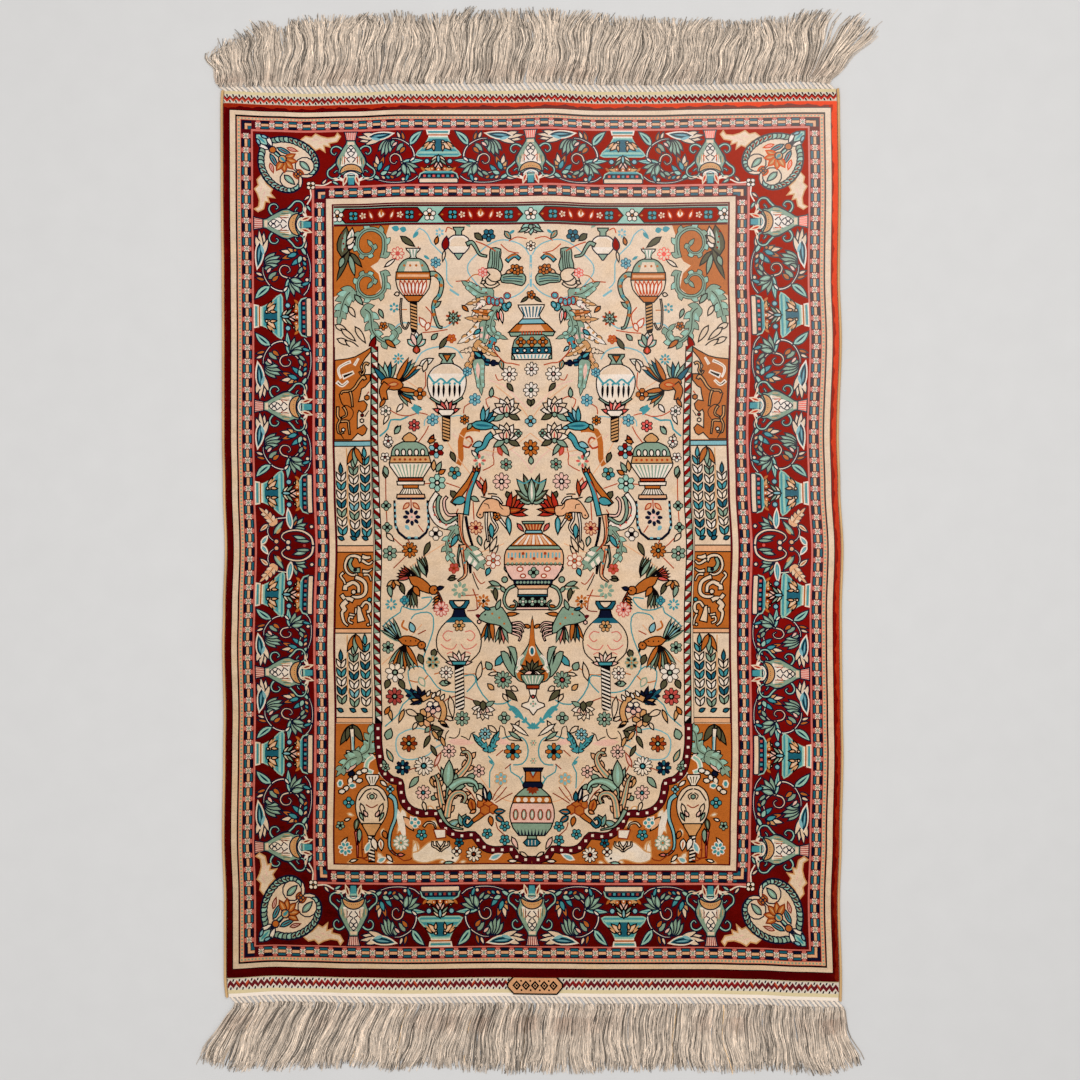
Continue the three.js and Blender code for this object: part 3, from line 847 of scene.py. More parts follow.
# Round flowers of the field: place, radius, number of petals and their dyes
FLOWERS = (
    # out, down, radius, petals, petal, eye, then, if not ink and none, edge, edge of eye, second petal
    (133, 150, 6.6, 8, "cream", "coral", "coral"), (91, 129, 5, 6, "sky", "cream", None),
    (95, 159, 5.2, 6, "sky", "cream", "teal"), (42, 132, 6.6, 5, "teal", "sky"),
    (48, 169, 4.6, 6, "pink", "cream", "coral"), (80, 235, 4.4, 5, "orange", "cream", "rust"),
    (137, 204, 5.4, 6, "turquoise", "cream", None), (111, 290, 6.2, 4, "orange", "pale"),
    (133, 255, 6.2, 8, "turquoise", "orange", None), (22, 271, 8, 8, "pale", "pink"),
    (0, 266, 7, 8, "pale", "pink"), (0, 287, 8, 8, "pale", "sage"),
    (56, 296, 6, 6, "sky", "cream", "teal"), (98, 316, 6, 6, "sky", "cream", "teal"),
    (145, 307, 5.4, 6, "pale", "sage"), (116.5, 321.5, 6, 6, "coral", "pale"),
    (142.5, 337, 5, 5, "pale", "coral"), (66, 316, 4.6, 6, "orange", "sage"),
    (0, 318, 5.6, 4, "sky", "orange"), (0, 345, 8.6, 8, "orange", "sky"),
    (51.5, 357, 7, 8, "coral", "pale", None, None, "sage"), (25, 361, 6, 6, "sage", "coral"),
    (144, 449, 7.4, 6, "sage", "pink"), (124, 446, 8, 9, "orange", "sage"),
    (94.5, 379, 9, 6, "mint", "pale"), (30, 378, 9, 8, "pink", "pale"),
    (73, 486, 9, 8, "sage", "cream", None), (91, 505, 7.6, 9, "pink", "navy", "coral"),
    (49, 497, 7.2, 8, "orange", "ink", None), (141, 500, 6.6, 8, "turquoise", "cream", None),
    (128, 496, 4.2, 4, "turquoise", "cream", "teal"), (143.5, 543, 6, 6, "sage", "ink"),
    (99, 558, 6.6, 8, "tan", "orange", "sage", None, "ink"), (86, 568.5, 6.8, 8, "pale", "pink"),
    (137, 568, 10, 7, "pale", "sage"), (29.5, 576, 9, 10, "sage", "coral"),
    (138, 592, 9, 8, "coral", "sage"), (71, 614.5, 7.6, 8, "sage", "pink"),
    (48, 630, 6.2, 8, "sky", "pale"), (29, 614, 6, 4, "sage", "pale"),
    (124, 639, 8.6, 8, "rust", "mint", "ink", None, "orange"), (84, 647, 7, 8, "pink", "pale"),
    (130, 663, 7.6, 8, "teal", "pale", "ink", None, "navy"), (109, 661.4, 10, 12, "pale", "turquoise"),
    (109, 688, 7.6, 8, "pink", "turquoise"), (54, 667, 6.2, 6, "pink", "pale"),
    (20.5, 647.7, 8.8, 8, "orange", "ink", "ink", None, "turquoise"),
    (32, 675, 6.6, 6, "sky", "pale", "tan"), (44.5, 729.5, 5.2, 5, "turquoise", "cream"),
    (27, 722, 5.2, 5, "turquoise", "cream"), (27, 736, 5.2, 5, "turquoise", "cream"),
    (183, 698, 5.6, 4, "turquoise", "pale"), (191, 721, 4.4, 5, "sage", "ink"),
    (186, 744, 7, 7, "turquoise", "orange", "pale"), (130.5, 738, 8, 10, "pale", "orange", "sage"),
    (110, 730, 5.6, 5, "turquoise", "pale"), (116.5, 718, 5.4, 4, "turquoise", "orange", "pale"),
    (142, 684.5, 3.8, 4, "sky", "ink"), (75, 747, 4.8, 4, "pale", "rust"),
    (72.5, 738, 4.6, 5, "teal", "rust"), (58, 750, 8, 10, "pale", "rust"),
    (57.4, 424, 7, 8, "peach", "navy", "crimson"), (97.8, 429.7, 6.8, 4, "pale", "ink"),
    (40.6, 457, 8, 6, "pale", "sage", "rust"), (79.6, 464.4, 5.2, 5, "coral", "ink", "rust"),
    (94.6, 346.5, 8, 6, "sky", "pale", "ink", None, "crimson"),
    (77, 369, 6.6, 5, "turquoise", "orange", "ink", None, "sage"), (146, 401.5, 4.8, 4, "sage", "ink"),
    (146, 423, 4.8, 4, "sage", "ink"), (78, 214.5, 8.6, 10, "moss", "sage", None, None, "rust"),
    (78, 214.5, 5.0, 8, "sage", "tan"), (16, 166, 5.2, 5, "orange", "pale"),
    (0, 143, 4.8, 6, "pale", "orange"), (148, 222, 4.2, 5, "orange", "pale"),
    (146, 353, 4.6, 5, "pale", "coral"), (64, 268, 4.4, 6, "sky", "cream", "teal"),
    (36, 413, 4.0, 5, "orange", "pale"), (12, 330, 3.6, 4, "sage", "coral"),
    (147, 663, 4.0, 5, "sage", "cream"),
)

# Single leaves of the field
LEAVES = (
    # out, down of the base, out, down of the tip, width, leaf, then, if not ink and none, edge, core
    (131, 126, 139, 124, 6, "turquoise", None), (124, 127, 131, 125, 6, "turquoise", None),
    (130, 133, 116, 143, 6, "moss"), (146, 163, 135, 155, 3.6, "pale"),
    (107, 152, 101, 156, 3, "turquoise", None), (86, 147, 88, 158, 3, "cream"),
    (112, 128, 118, 135, 4, "turquoise", None), (69, 202, 63, 208, 4, "orange"),
    (50, 190, 58, 193, 3, "orange", None), (92, 245, 84, 233, 5, "moss"),
    (117, 305, 110, 304, 4.4, "turquoise"), (135, 328, 133, 322, 3.4, "moss"),
    (120, 352, 112, 344, 4, "sage"), (146, 364, 146, 374, 6, "moss"), (81, 387, 74, 396, 6, "moss"),
    (104, 438, 110, 451, 5, "moss"), (147, 429, 140, 437, 5, "cream"), (25, 388, 22, 396, 5, "moss"),
    (51, 374, 47, 392, 5, "cream", "rust"), (44, 464, 47, 472, 5, "turquoise"),
    (49, 446, 44, 431, 5, "cream"), (44, 448, 37, 433, 5, "cream"), (42, 452, 36, 442, 4, "cream"),
    (144, 481, 141, 493, 5, "sage"), (133, 478, 128, 490, 5, "moss"), (78, 472, 85, 475, 4, "moss"),
    (97, 545, 99, 553, 6, "moss"), (113, 550, 109, 560, 6, "moss"), (128, 562, 124, 553, 6, "sage"),
    (133, 575, 128, 585, 6, "moss"), (143, 575, 147, 584, 6, "moss"), (144, 604, 141, 616, 4, "tan"),
    (93, 579, 82, 579, 5.6, "sage"), (55, 576, 51, 558, 6, "cream"), (83, 592, 80, 614, 6, "cream"),
    (37, 562, 27, 550, 6.6, "turquoise"), (41, 566, 46, 558, 7, "sage"), (44, 571, 33, 569, 3.6, "cream"),
    (39, 586, 45, 580, 5, "tan"), (27, 586, 16, 597, 6, "moss"), (22, 583, 15, 587, 5, "cream"),
    (30, 590, 25, 598, 4, "cream"), (80, 616, 88, 612, 4, "cream"), (45, 622, 36, 629, 5, "cream"),
    (14, 617, 21, 629, 4, "cream"), (98, 634, 90, 626, 5, "moss"), (92, 632, 88, 643, 4, "tan"),
    (102, 641, 96, 652, 4, "moss"), (146, 635, 142, 624, 8, "sage"),
    (140, 657, 146, 645, 5, "sage", "ink", "tan"), (114, 672, 123, 683, 6, "sage"),
    (102, 673, 98, 683, 4.6, "tan"), (109, 697, 106, 707, 4, "cream"), (101, 692, 96, 695, 5, "sage"),
    (98, 662, 92, 648, 4, "pink", "rust"), (62, 694, 58, 709, 8, "orange", "ink", "rust"),
    (20, 733, 14, 745, 4.6, "pink"), (12, 748, 4, 753, 3.6, "cream"),
    (84, 722, 72, 716, 7, "sage", "ink", "sky"), (72, 722, 66, 710, 7, "sage"),
    (44, 656, 40, 661, 3, "turquoise", None), (190, 741, 184, 733, 4, "pale"),
    (166, 748, 161, 737, 5, "sky", "pale"), (159, 733, 155, 746, 6, "pale"),
    (154, 757, 146, 753, 5, "sky", "pale"), (187, 716, 181, 714, 3, "pale"),
    (182, 757, 174, 755, 3, "pale"), (145, 750, 139, 757, 4, "pale"), (128, 712, 118, 726, 7, "peach"),
    (42, 755, 30, 750, 5, "sky", "pale"), (24, 757, 14, 757, 3.4, "pale"),
    (55.3, 432, 53, 442, 5, "sage", "ink", "pink"), (61, 393.3, 53, 397.6, 5, "sage"),
    (85, 475.6, 77, 475, 3, "moss"), (47, 485, 35, 480.4, 3, "moss", None),
    (42.4, 486, 36, 493, 3, "moss", None), (44, 484, 28, 486, 2.6, "sage", None),
    (95, 141, 93, 133, 4, "orange"), (56, 130, 48, 137, 6, "moss"), (66, 118, 60, 124, 4, "sage", None),
    (26, 128, 20, 136, 5, "sage", "ink", "orange"), (98, 204, 90, 198, 4.6, "sage"),
    (100, 236, 94, 230, 4.6, "sage"), (105, 224, 112, 214, 6, "pale", "rust"),
    (124, 236, 115, 243, 6, "mint", "ink", "pink"), (106, 236, 115, 243, 6, "mint", "ink", "pink"),
    (115, 228, 115, 243, 6, "pale", "ink", "turquoise"), (110, 230, 115, 243, 5, "sage"),
    (120, 230, 115, 243, 5, "pink"), (115, 250, 115, 242, 7, "rust", "ink", "coral"),
    (112, 262, 98, 255, 7, "pale", "ink", "sage"), (108, 268, 104, 256, 5, "cream"),
    (120, 304, 108, 306, 6, "turquoise", None), (117, 300, 112, 311, 6, "turquoise", None),
    (136, 330, 130, 322, 5, "sage"), (128, 300, 134, 308, 4.4, "pale"), (142, 310, 147, 320, 4, "pale"),
    (144, 330, 142, 344, 5, "pale"), (139, 342, 147, 340, 4.6, "pale"),
    (101, 340, 97, 331, 5, "crimson", "ink", "orange"), (103, 338, 95, 336, 4.4, "orange"),
    (80, 348, 76, 358, 5, "moss"), (98, 367, 97, 356, 4.6, "tan"), (95, 368, 90, 358, 5, "sage"),
    (93, 370, 86, 366, 4.6, "orange"), (147, 362, 144, 372, 5, "sage"), (40, 294, 39, 284, 4.6, "sage"),
    (24, 280, 18, 288, 4.6, "moss"), (3, 296, 0, 303, 4, "moss"), (30, 340, 22, 352, 5, "sage"),
    (48, 392, 46, 376, 4.4, "rust"), (49, 386, 56, 376, 4, "coral"), (44, 478, 32, 482, 4.6, "sage"),
    (38, 484, 36, 497, 4.6, "moss"), (32, 483, 27, 489, 4, "sage"), (27, 511, 14, 510, 4, "orange"),
    (86, 637, 58, 639, 7, "pink", None), (38, 636, 22, 640, 6, "pink", None),
    (60, 631, 45.6, 647, 5, "turquoise"), (35, 628, 44.4, 647, 5, "turquoise"),
    (24, 601, 9, 615, 6, "turquoise", None), (88, 577, 84, 579, 3, "sage"),
    (113, 573, 108, 582, 6, "cream", "sage"), (22, 620, 5, 632, 4.6, "pale"),
    (24, 628, 12, 636, 4, "sage"), (148, 610, 143, 602, 4.6, "orange"), (150, 655, 146, 664, 4, "sage"),
    (134, 704, 126, 736, 7, "pale", None), (121, 712, 114, 722, 5, "sky", "pale"),
    (108, 628, 100, 620, 5, "sage"), (76, 430, 70, 440, 5, "sage"), (16, 420, 10, 428, 4, "coral"),
    (29, 352, 33, 343, 4, "coral", "rust"), (88, 300, 92, 310, 4, "sage"),
)

# Stems: thin lines of one dye
STEMS = (
    # width, dye, then out and down along it
    (1.3, "sky", (117, 132, 111, 125, 103, 131, 99, 140, 89, 150, 84, 160, 84, 177, 78, 184)),
    (2.2, "sky", (81, 186, 72, 192)),
    (1.3, "sky", (1.5, 152, 5, 146, 11, 141, 19, 138, 27, 136.6, 35, 138, 43, 142, 50, 148, 57, 154, 62.6,
        161, 62.6, 169, 57, 177, 50, 185, 42, 191, 34, 194.6, 25, 195.4, 16, 193, 8, 188, 2, 181)),
    (1.2, "sky", (0.6, 152, 0.6, 184)), (1.2, "orange", (98, 163, 90, 176)),
    (1.1, "rust", (61, 177, 75, 178)), (1.4, "sky", (70, 212, 86, 224, 104, 222, 128, 219, 136, 224)),
    (1.1, "rust", (112, 143, 118, 160)), (1.1, "orange", (124, 206, 137, 206)),
    (1.1, "rust", (116, 343, 106, 330, 102, 322)), (1.1, "orange", (146, 389, 146, 420)),
    (1.1, "rust", (144, 430, 134, 440, 128, 444)), (1.1, "ink", (150, 448, 132, 448)),
    (1.1, "orange", (111, 402, 111, 420, 116, 431)), (1.1, "rust", (129, 453, 140, 464)),
    (1.1, "rust", (91, 424, 80, 415, 74, 405)), (1.1, "rust", (108, 380, 94, 379)),
    (1.1, "rust", (86, 379, 72, 384)), (1.0, "rust", (80, 471, 78, 475)), (1.1, "rust", (73, 492, 54, 491)),
    (1.4, "turquoise", (149, 522, 141, 514, 132, 508, 130, 502, 122, 505, 110, 505, 102, 498, 101, 493,
        111, 494)),
    (1.3, "turquoise", (121, 515, 117, 510, 105, 508, 99, 513, 99, 527, 104, 542, 108, 552, 108, 565, 102,
        573, 95, 583, 87, 587, 77, 588)),
    (1.3, "turquoise", (120, 587, 123, 577, 124, 567, 120, 563, 112, 562, 106, 567)),
    (1.2, "orange", (123, 576, 112, 578, 104, 571)), (1.2, "orange", (98, 570, 88, 567)),
    (1.2, "orange", (69, 570, 57, 570, 45, 563, 36, 568)),
    (1.3, "turquoise", (68, 572, 59, 571, 57, 578, 66, 588)),
    (1.4, "turquoise", (51, 572, 56, 571, 55, 582, 44, 598, 30, 600, 22, 596)),
    (1.1, "rust", (68, 593, 56, 598, 50, 604)),
    (1.3, "turquoise", (120, 592, 130, 600, 134, 609, 141, 616, 148, 622)),
    (1.4, "sky", (96, 637, 98, 630, 108, 625, 120, 624, 134, 630, 137, 640, 134, 651, 126, 655, 114, 654,
        104, 650, 97, 643, 88, 639)),
    (1.4, "turquoise", (34, 636, 22, 632, 11, 634, 6, 641, 5.6, 652, 11, 660, 20, 661)),
    (1.3, "turquoise", (23, 660, 22, 668, 14, 673, 10, 680)),
    (1.3, "turquoise", (45, 652, 39, 660, 43, 668, 43, 684)), (1.1, "rust", (37, 652, 30, 646)),
    (1.1, "rust", (28, 665, 22, 660)), (1.1, "rust", (36, 718, 34, 725, 26, 732)),
    (1.1, "rust", (86, 680, 94, 664, 98, 655)), (1.1, "rust", (71, 690, 61, 697)),
    (1.2, "pink", (42, 277, 27, 282, 15, 294, 2, 306)),
    (1.0, "pink", (78, 330, 62, 344, 40, 352, 20, 346, 4, 362, 0, 370)), (1.3, "ink", (174, 723, 174, 741)),
    (1.4, "rust", (169, 731, 169, 754, 160, 755)), (1.2, "rust", (141, 745, 128, 756, 117, 751, 116, 738)),
    (1.2, "rust", (58.9, 398.3, 58.9, 406, 58.9, 416)),
    (1.4, "sky", (116, 259, 110, 249, 98, 244, 84, 243, 74, 247, 69, 255)),
    (1.8, "turquoise", (151, 332, 143, 325, 140, 316, 130, 316, 122, 312)),
    (1.1, "rust", (141, 306, 132, 311, 121, 312, 112, 309, 103, 311)),
    (1.1, "rust", (106, 268, 105.5, 282, 110, 288)), (1.1, "rust", (67, 310, 66, 303, 59, 299)),
    (1.1, "rust", (36, 271, 33, 277, 27, 275)), (1.1, "rust", (42.5, 304, 45, 296, 37, 293, 30, 297)),
    (1.1, "rust", (36.4, 344, 38, 352, 37.4, 361, 48.6, 367)), (1.1, "rust", (146, 366, 146, 396)),
    (1.1, "rust", (146, 408, 146, 418)), (1.1, "rust", (132.5, 431, 127, 434, 124, 439)),
    (1.1, "rust", (60, 468, 57, 474, 52, 480, 48, 478)), (1.1, "ink", (61, 470, 58, 478, 54, 486)),
    (1.1, "rust", (109, 229, 96, 228, 84, 226)), (1.1, "rust", (30, 141, 22, 148, 12, 150)),
    (1.1, "orange", (64, 178, 58, 172, 52, 171)),
    (5.6, "orange", (73, 361, 70, 354, 70, 338, 66, 327, 56, 325, 50, 326)),
    (2.0, "rust", (68, 342, 62, 344, 58, 338, 61, 333, 65, 335)),
    (1.0, "peach", (150, 262, 120, 280, 96, 300, 88, 330, 60, 372, 20, 410)),
    (1.0, "peach", (36, 282, 18, 296, 8, 306, 0, 318)),
    (1.0, "peach", (72, 330, 48, 346, 24, 348, 10, 338, 0, 330)),
    (1.0, "peach", (132, 470, 90, 440, 60, 450, 30, 440)), (1.0, "peach", (150, 560, 128, 540, 110, 520)),
    (1.0, "peach", (60, 660, 40, 690, 12, 700)), (1.1, "ink", (88, 636, 87, 630, 84, 626)),
    (1.1, "ink", (84, 633, 78, 634, 74, 630, 73, 624)),
    (1.1, "ink", (72, 632, 67, 634, 64, 636, 62, 630, 58, 628)),
    (1.1, "ink", (34, 628, 33, 622, 29, 624, 28, 630)), (1.1, "ink", (28, 630, 24, 636, 10, 637)),
    (1.1, "rust", (72, 591, 84, 594, 92, 600)), (1.1, "rust", (104, 606, 96, 614, 84, 616)),
    (1.1, "rust", (128, 668, 120, 664, 114, 664)),
)


def draw_field(chart):
    for _ in chart.mirrored():
        draw_spandrels(chart)
        draw_pillar(chart)
        draw_lower_spandrel_urn(chart)
    draw_pole_and_arch(chart)
    for _ in chart.mirrored():
        for width, dye, numbers in STEMS:
            chart.stem(path(*numbers), width, dye, steps=2)
        for looks in LEAVES:
            chart.leaf(*looks, corners=3)
        draw_wreath(chart)
        for draw, out, down in (
            (draw_ewer_lamp, 117.5, 145), (draw_teapot, 72, 124), (draw_swan, 41, 170),
            (draw_globe_lamp, 84.4, 250), (draw_domed_lamp, 121, 329), (draw_stemmed_lamp, 73, 496),
            (draw_fruit_bird, 139, 283), (draw_peacock, 56, 391), (draw_antelope, 40, 400),
            (draw_orange_bird, 111, 474), (draw_fan_bird, 122, 536), (draw_crested_bird, 36, 512),
            (draw_crane, 108, 598), (draw_acanthus_plant, 83, 722), (draw_winged_cat, 40, 700),
            (draw_duck, 95, 745), (draw_small_birds, 46, 317),
            (draw_hanging_peony, 50, 609),
        ):
            with chart.at(out, down):
                draw(chart)
    for out, *looks in FLOWERS:
        for side in (1, -1) if out else (1,):
            chart.flower(side * out, *looks, turn=90)
    draw_middle(chart)


def draw_spandrels(chart):
    """Orange corners above the pillars, and the orange ground outside the lobed arch."""
    upper = path(FIELD_HALF, FIELD_TOP, 141, FIELD_TOP, 145, 133, 146, 148, 153, 158, 160, 162, 152, 170,
                 149, 184, 158, 192, 170, 188, 178, 184, 188, 188, FIELD_HALF, 192)
    chart.lay(upper, "orange")
    lower = np.concatenate([ARCH, path(-1, FIELD_BOTTOM, FIELD_HALF, FIELD_BOTTOM, FIELD_HALF, ARCH_SPRING)])
    chart.lay(lower, "orange")
    # Hanging leaves in the very corner
    chart.leaf(189, 152, 184, 122, 13, "moss", core="sage")
    for k in range(4):
        chart.dot(188.6 - 0.8 * k, 128 + 5.4 * k, 1.1, "crimson")
    chart.leaf(181, 146, 178, 123, 9, "pale", core="sage")
    for x, y, x2, y2, dye in (
        (181, 145, 194, 176, "moss"), (180, 148, 169, 162, "moss"), (181, 150, 176, 171, "sage"),
        (183, 144, 176, 138, "pale"), (184, 140, 176, 132, "cream"), (187, 152, 191, 163, "sage"),
    ):
        chart.leaf(x, y, x2, y2, 5.4, dye, "ink")
    # Two feathered rings, and the leaf that hangs below them
    for down in (140.5, 180):
        ring = path(148, 13, 146, 4, 147, -8, 155, -15, 165, -15, 172, -8, 173, 2, 168, 9, 161, 9, 157, 4,
                    160, -1)
        turn = ring.real + 1j * (down + (ring.imag if down < 160 else -ring.imag * 0.9 - 1))
        chart.acanthus(turn, 6.0, "sage", "ink", "mint", 9, -1 if down < 160 else 1, 0.4, 1.0)
    chart.acanthus(path(179, 186, 185, 192, 189, 202, 192, 216), 7, "sage", "ink", "mint", 5)
    chart.leaf(176, 190, 168, 200, 5, "sage")
    chart.leaf(182, 202, 176, 212, 5, "cream")
    chart.acanthus(path(168, 203, 161, 209, 160, 218, 158, 228, 149, 237, 140, 238, 134, 230, 139, 224), 7,
                   "sage", "ink", "mint", 7, 0, 0.4, 1.15)
    chart.leaf(152, 205, 148, 214, 4, "sage")
    chart.leaf(146, 236, 136, 244, 5, "orange")
    chart.leaf(161, 246, 156, 232, 6, "crimson")
    for x, y, x2, y2 in ((196, 220, 184, 226), (190, 224, 176, 236), (194, 234, 180, 240),
                         (176, 222, 166, 238), (186, 236, 170, 246)):
        chart.leaf(x, y, x2, y2, 5.4, "cream", "ink")


def draw_pillar(chart):
    """A side pillar: orange panels of scrollwork and cream ones of rising leaves."""
    top = PILLAR_TOP
    for bottom, dye in PILLAR_PANELS:
        chart.block(160, top, FIELD_HALF, bottom, "ink")
        chart.block(160.6, top + 0.6, FIELD_HALF - 0.6, bottom - 0.6, dye)
        if dye == "cream":
            draw_rising_leaves(chart, top, bottom)
        elif dye == "orange" and bottom < 400:
            draw_cloud_panel(chart)
        elif dye == "orange":
            with chart.carried(lambda points, top=top, bottom=bottom: points.real + 1j * (
                    top + (points.imag - 447) * (bottom - top) / 77)):
                draw_scroll_panel(chart)
        top = bottom


def draw_cloud_panel(chart):
    """Orange cloud on cream, with thin arabesques and black flames."""
    cloud = path(196.3, 255.4, 184, 254, 176, 252, 165, 246, 160.6, 243, 160.6, 247, 166.5, 254, 171, 262,
                 168, 270, 161, 270, 161, 276, 166, 282, 169.6, 284, 170.6, 290, 172.5, 297, 167, 296, 163.6,
                 300, 165, 305, 168.5, 308, 172, 305.5, 173.5, 309, 173.5, 324, 167, 320, 163.6, 324, 165.5,
                 329, 168.5, 331, 173, 328.5, 179, 335, 196.3, 335)
    chart.block(160.6, PILLAR_TOP, FIELD_HALF - 0.6, 335.4, "cream")
    chart.lay(cloud, "orange", "ink", 1.2)
    for width, silk, edge, numbers in (
        (1.8, "ink", "pale", (181, 257, 186, 259, 192, 263, 192.4, 268, 190.3, 273)),
        (4.0, "ink", "pale", (188, 272, 183, 270, 178, 267.6)),
        (2.4, "ink", "pale", (193.8, 277.3, 188.8, 280.8, 183.4, 276.6)),
        (1.6, "ink", "pale", (176.6, 260, 173, 254)),
        (2.6, "tan", "ink", (162.5, 259.8, 165.6, 258.6, 167.8, 262, 166.9, 266.6, 169.4, 270, 171.6, 267)),
        (3.0, "tan", "ink", (166, 275, 168, 272, 172.5, 277, 175.6, 282, 180.6, 286, 188, 286.6, 190, 289)),
        (2.6, "tan", "ink", (181, 286.6, 179.4, 292, 178.4, 302)),
        (1.3, "ink", None, (191.9, 289, 190, 296, 187.5, 300.4, 183, 301, 178, 305.4, 178, 311, 182, 316.6)),
        (2.6, "tan", "ink", (193, 302, 193, 311, 190.6, 315, 193, 320, 192, 328, 187, 327.6)),
        (2.4, "tan", "ink", (187.5, 302, 185, 306, 184.6, 310.4, 189, 312.9)),
        (2.4, "tan", "ink", (190, 316.6, 183, 316.6, 182, 322, 181, 329.6)),
        (1.3, "ink", None, (191, 328, 187, 334)), (1.3, "rust", None, (162, 287, 165, 291)),
        (1.2, "ink", None, (166, 312, 162, 306)),
    ):
        chart.stem(path(*numbers), width, silk, edge, width * 0.6)
    for x, y, radius, silk in ((187.4, 325, 1.9, "pale"), (168.8, 316, 2.0, "cream"),
                               (168.6, 310.6, 1.5, "crimson"), (164, 293, 2.6, "orange")):
        chart.dot(x, y, radius, silk, "ink")


def draw_scroll_panel(chart):
    """White scrolls with feathered ends, on orange."""
    for width, tip, silk, numbers in (
        (4.0, 2.4, "cream", (175, 456, 172.6, 454.4, 175.6, 451.6, 181, 450.6, 186, 453, 188.4, 460.6, 186,
                             467, 180.6, 470, 175.6, 468.8)),
        (3.0, 5.0, "sage", (181.6, 453, 183.8, 458, 182.5, 462.5, 179.4, 465, 173.4, 465)),
        (5.0, 2.6, "cream", (172, 451.4, 167, 452.6, 163, 452)),
        (3.4, 2.0, "cream", (172, 455, 165, 459, 160.9, 456)),
        (3.6, 1.4, "cream", (171, 466, 165, 466.4, 161, 463.6)),
        (3.0, 1.6, "cream", (170, 469.6, 164.4, 470, 161.6, 476)),
        (4.4, 3.4, "cream", (178, 472, 171.9, 474.4, 167.5, 478.8, 167, 487.5, 171.9, 491.9, 181, 492.2)),
        (3.4, 5.0, "cream", (173.8, 488, 174.4, 481, 179.4, 477.5, 183, 478.8, 187, 481, 187.6, 485.4)),
        (2.8, 2.2, "cream", (189.6, 467.4, 192.5, 470.6, 189, 475.6, 187.5, 479.4)),
        (4.0, 4.6, "cream", (191, 489.6, 187.5, 493.8, 183, 493.8, 178.8, 495.8)),
        (5.6, 2.2, "cream", (185, 496, 190, 501, 187, 504.4, 190, 508, 188, 516.9, 183.8, 521)),
        (3.0, 7.6, "cream", (173.4, 501, 172.5, 508.8, 170.6, 517)),
        (2.4, 2.0, "cream", (176, 503, 176.6, 509)), (2.6, 2.0, "cream", (183, 509.4, 177, 510.4)),
        (2.6, 2.2, "cream", (178.6, 513, 182.4, 512.4, 183, 516.4, 179, 518.6)),
        (3.0, 3.6, "cream", (171, 502.5, 167, 497.4, 162.4, 499.6, 162.4, 506, 165.6, 507.4)),
        (2.6, 1.8, "cream", (164.4, 509.4, 161.8, 515, 161.2, 520.6)),
    ):
        chart.stem(path(*numbers), width, silk, "ink", tip)
    for x, y, radius, silk in ((178.8, 487, 2.6, "cream"), (162.8, 495, 2.2, "turquoise"),
                               (163.8, 520, 1.6, "cream"), (178.2, 464.6, 1.4, "navy")):
        chart.dot(x, y, radius, silk, "ink")


def draw_rising_leaves(chart, top, bottom):
    """Three columns of chevron leaves on a cream panel."""
    chart.stem(path(184.4, top + 2, 184, top + 40, 184.6, bottom - 28, 180, bottom - 12), 1.2, "tan")
    for out, first, dyes in (
        (190.5, top + 26, ("pale", "turquoise", "pale", "teal", "sage")),
        (178, top + 20, ("sage", "pale", "teal", "pale", "sky")),
        (166.5, top + 10, ("turquoise", "pale", "teal", "turquoise", "pale")),
    ):
        down = first
        number = 0
        while down < bottom - 16:
            dye = dyes[number % len(dyes)]
            for way in (1, -1):
                chart.leaf(out, down + 9, out + way * 4.6, down, 4.0, dye, "ink", corners=3)
            down += 9
            number += 1
        chart.leaf(out, first + 2, out + 0.5, first - 9, 4, dyes[0] if dyes[0] != "pale" else "teal", "ink",
                   corners=3)
        chart.leaf(out - 1, bottom - 6, out + 5, bottom - 9, 4, "teal", "ink", corners=3)
    # A twisted orange leaf hangs from the top of the panel
    for turn, dye in ((-24, "orange"), (0, "sage"), (22, "orange")):
        angle = math.radians(90 + turn)
        chart.leaf(176, top + 1, 176 + 20 * math.cos(angle), top + 20 * math.sin(angle), 5.6, dye, "ink")


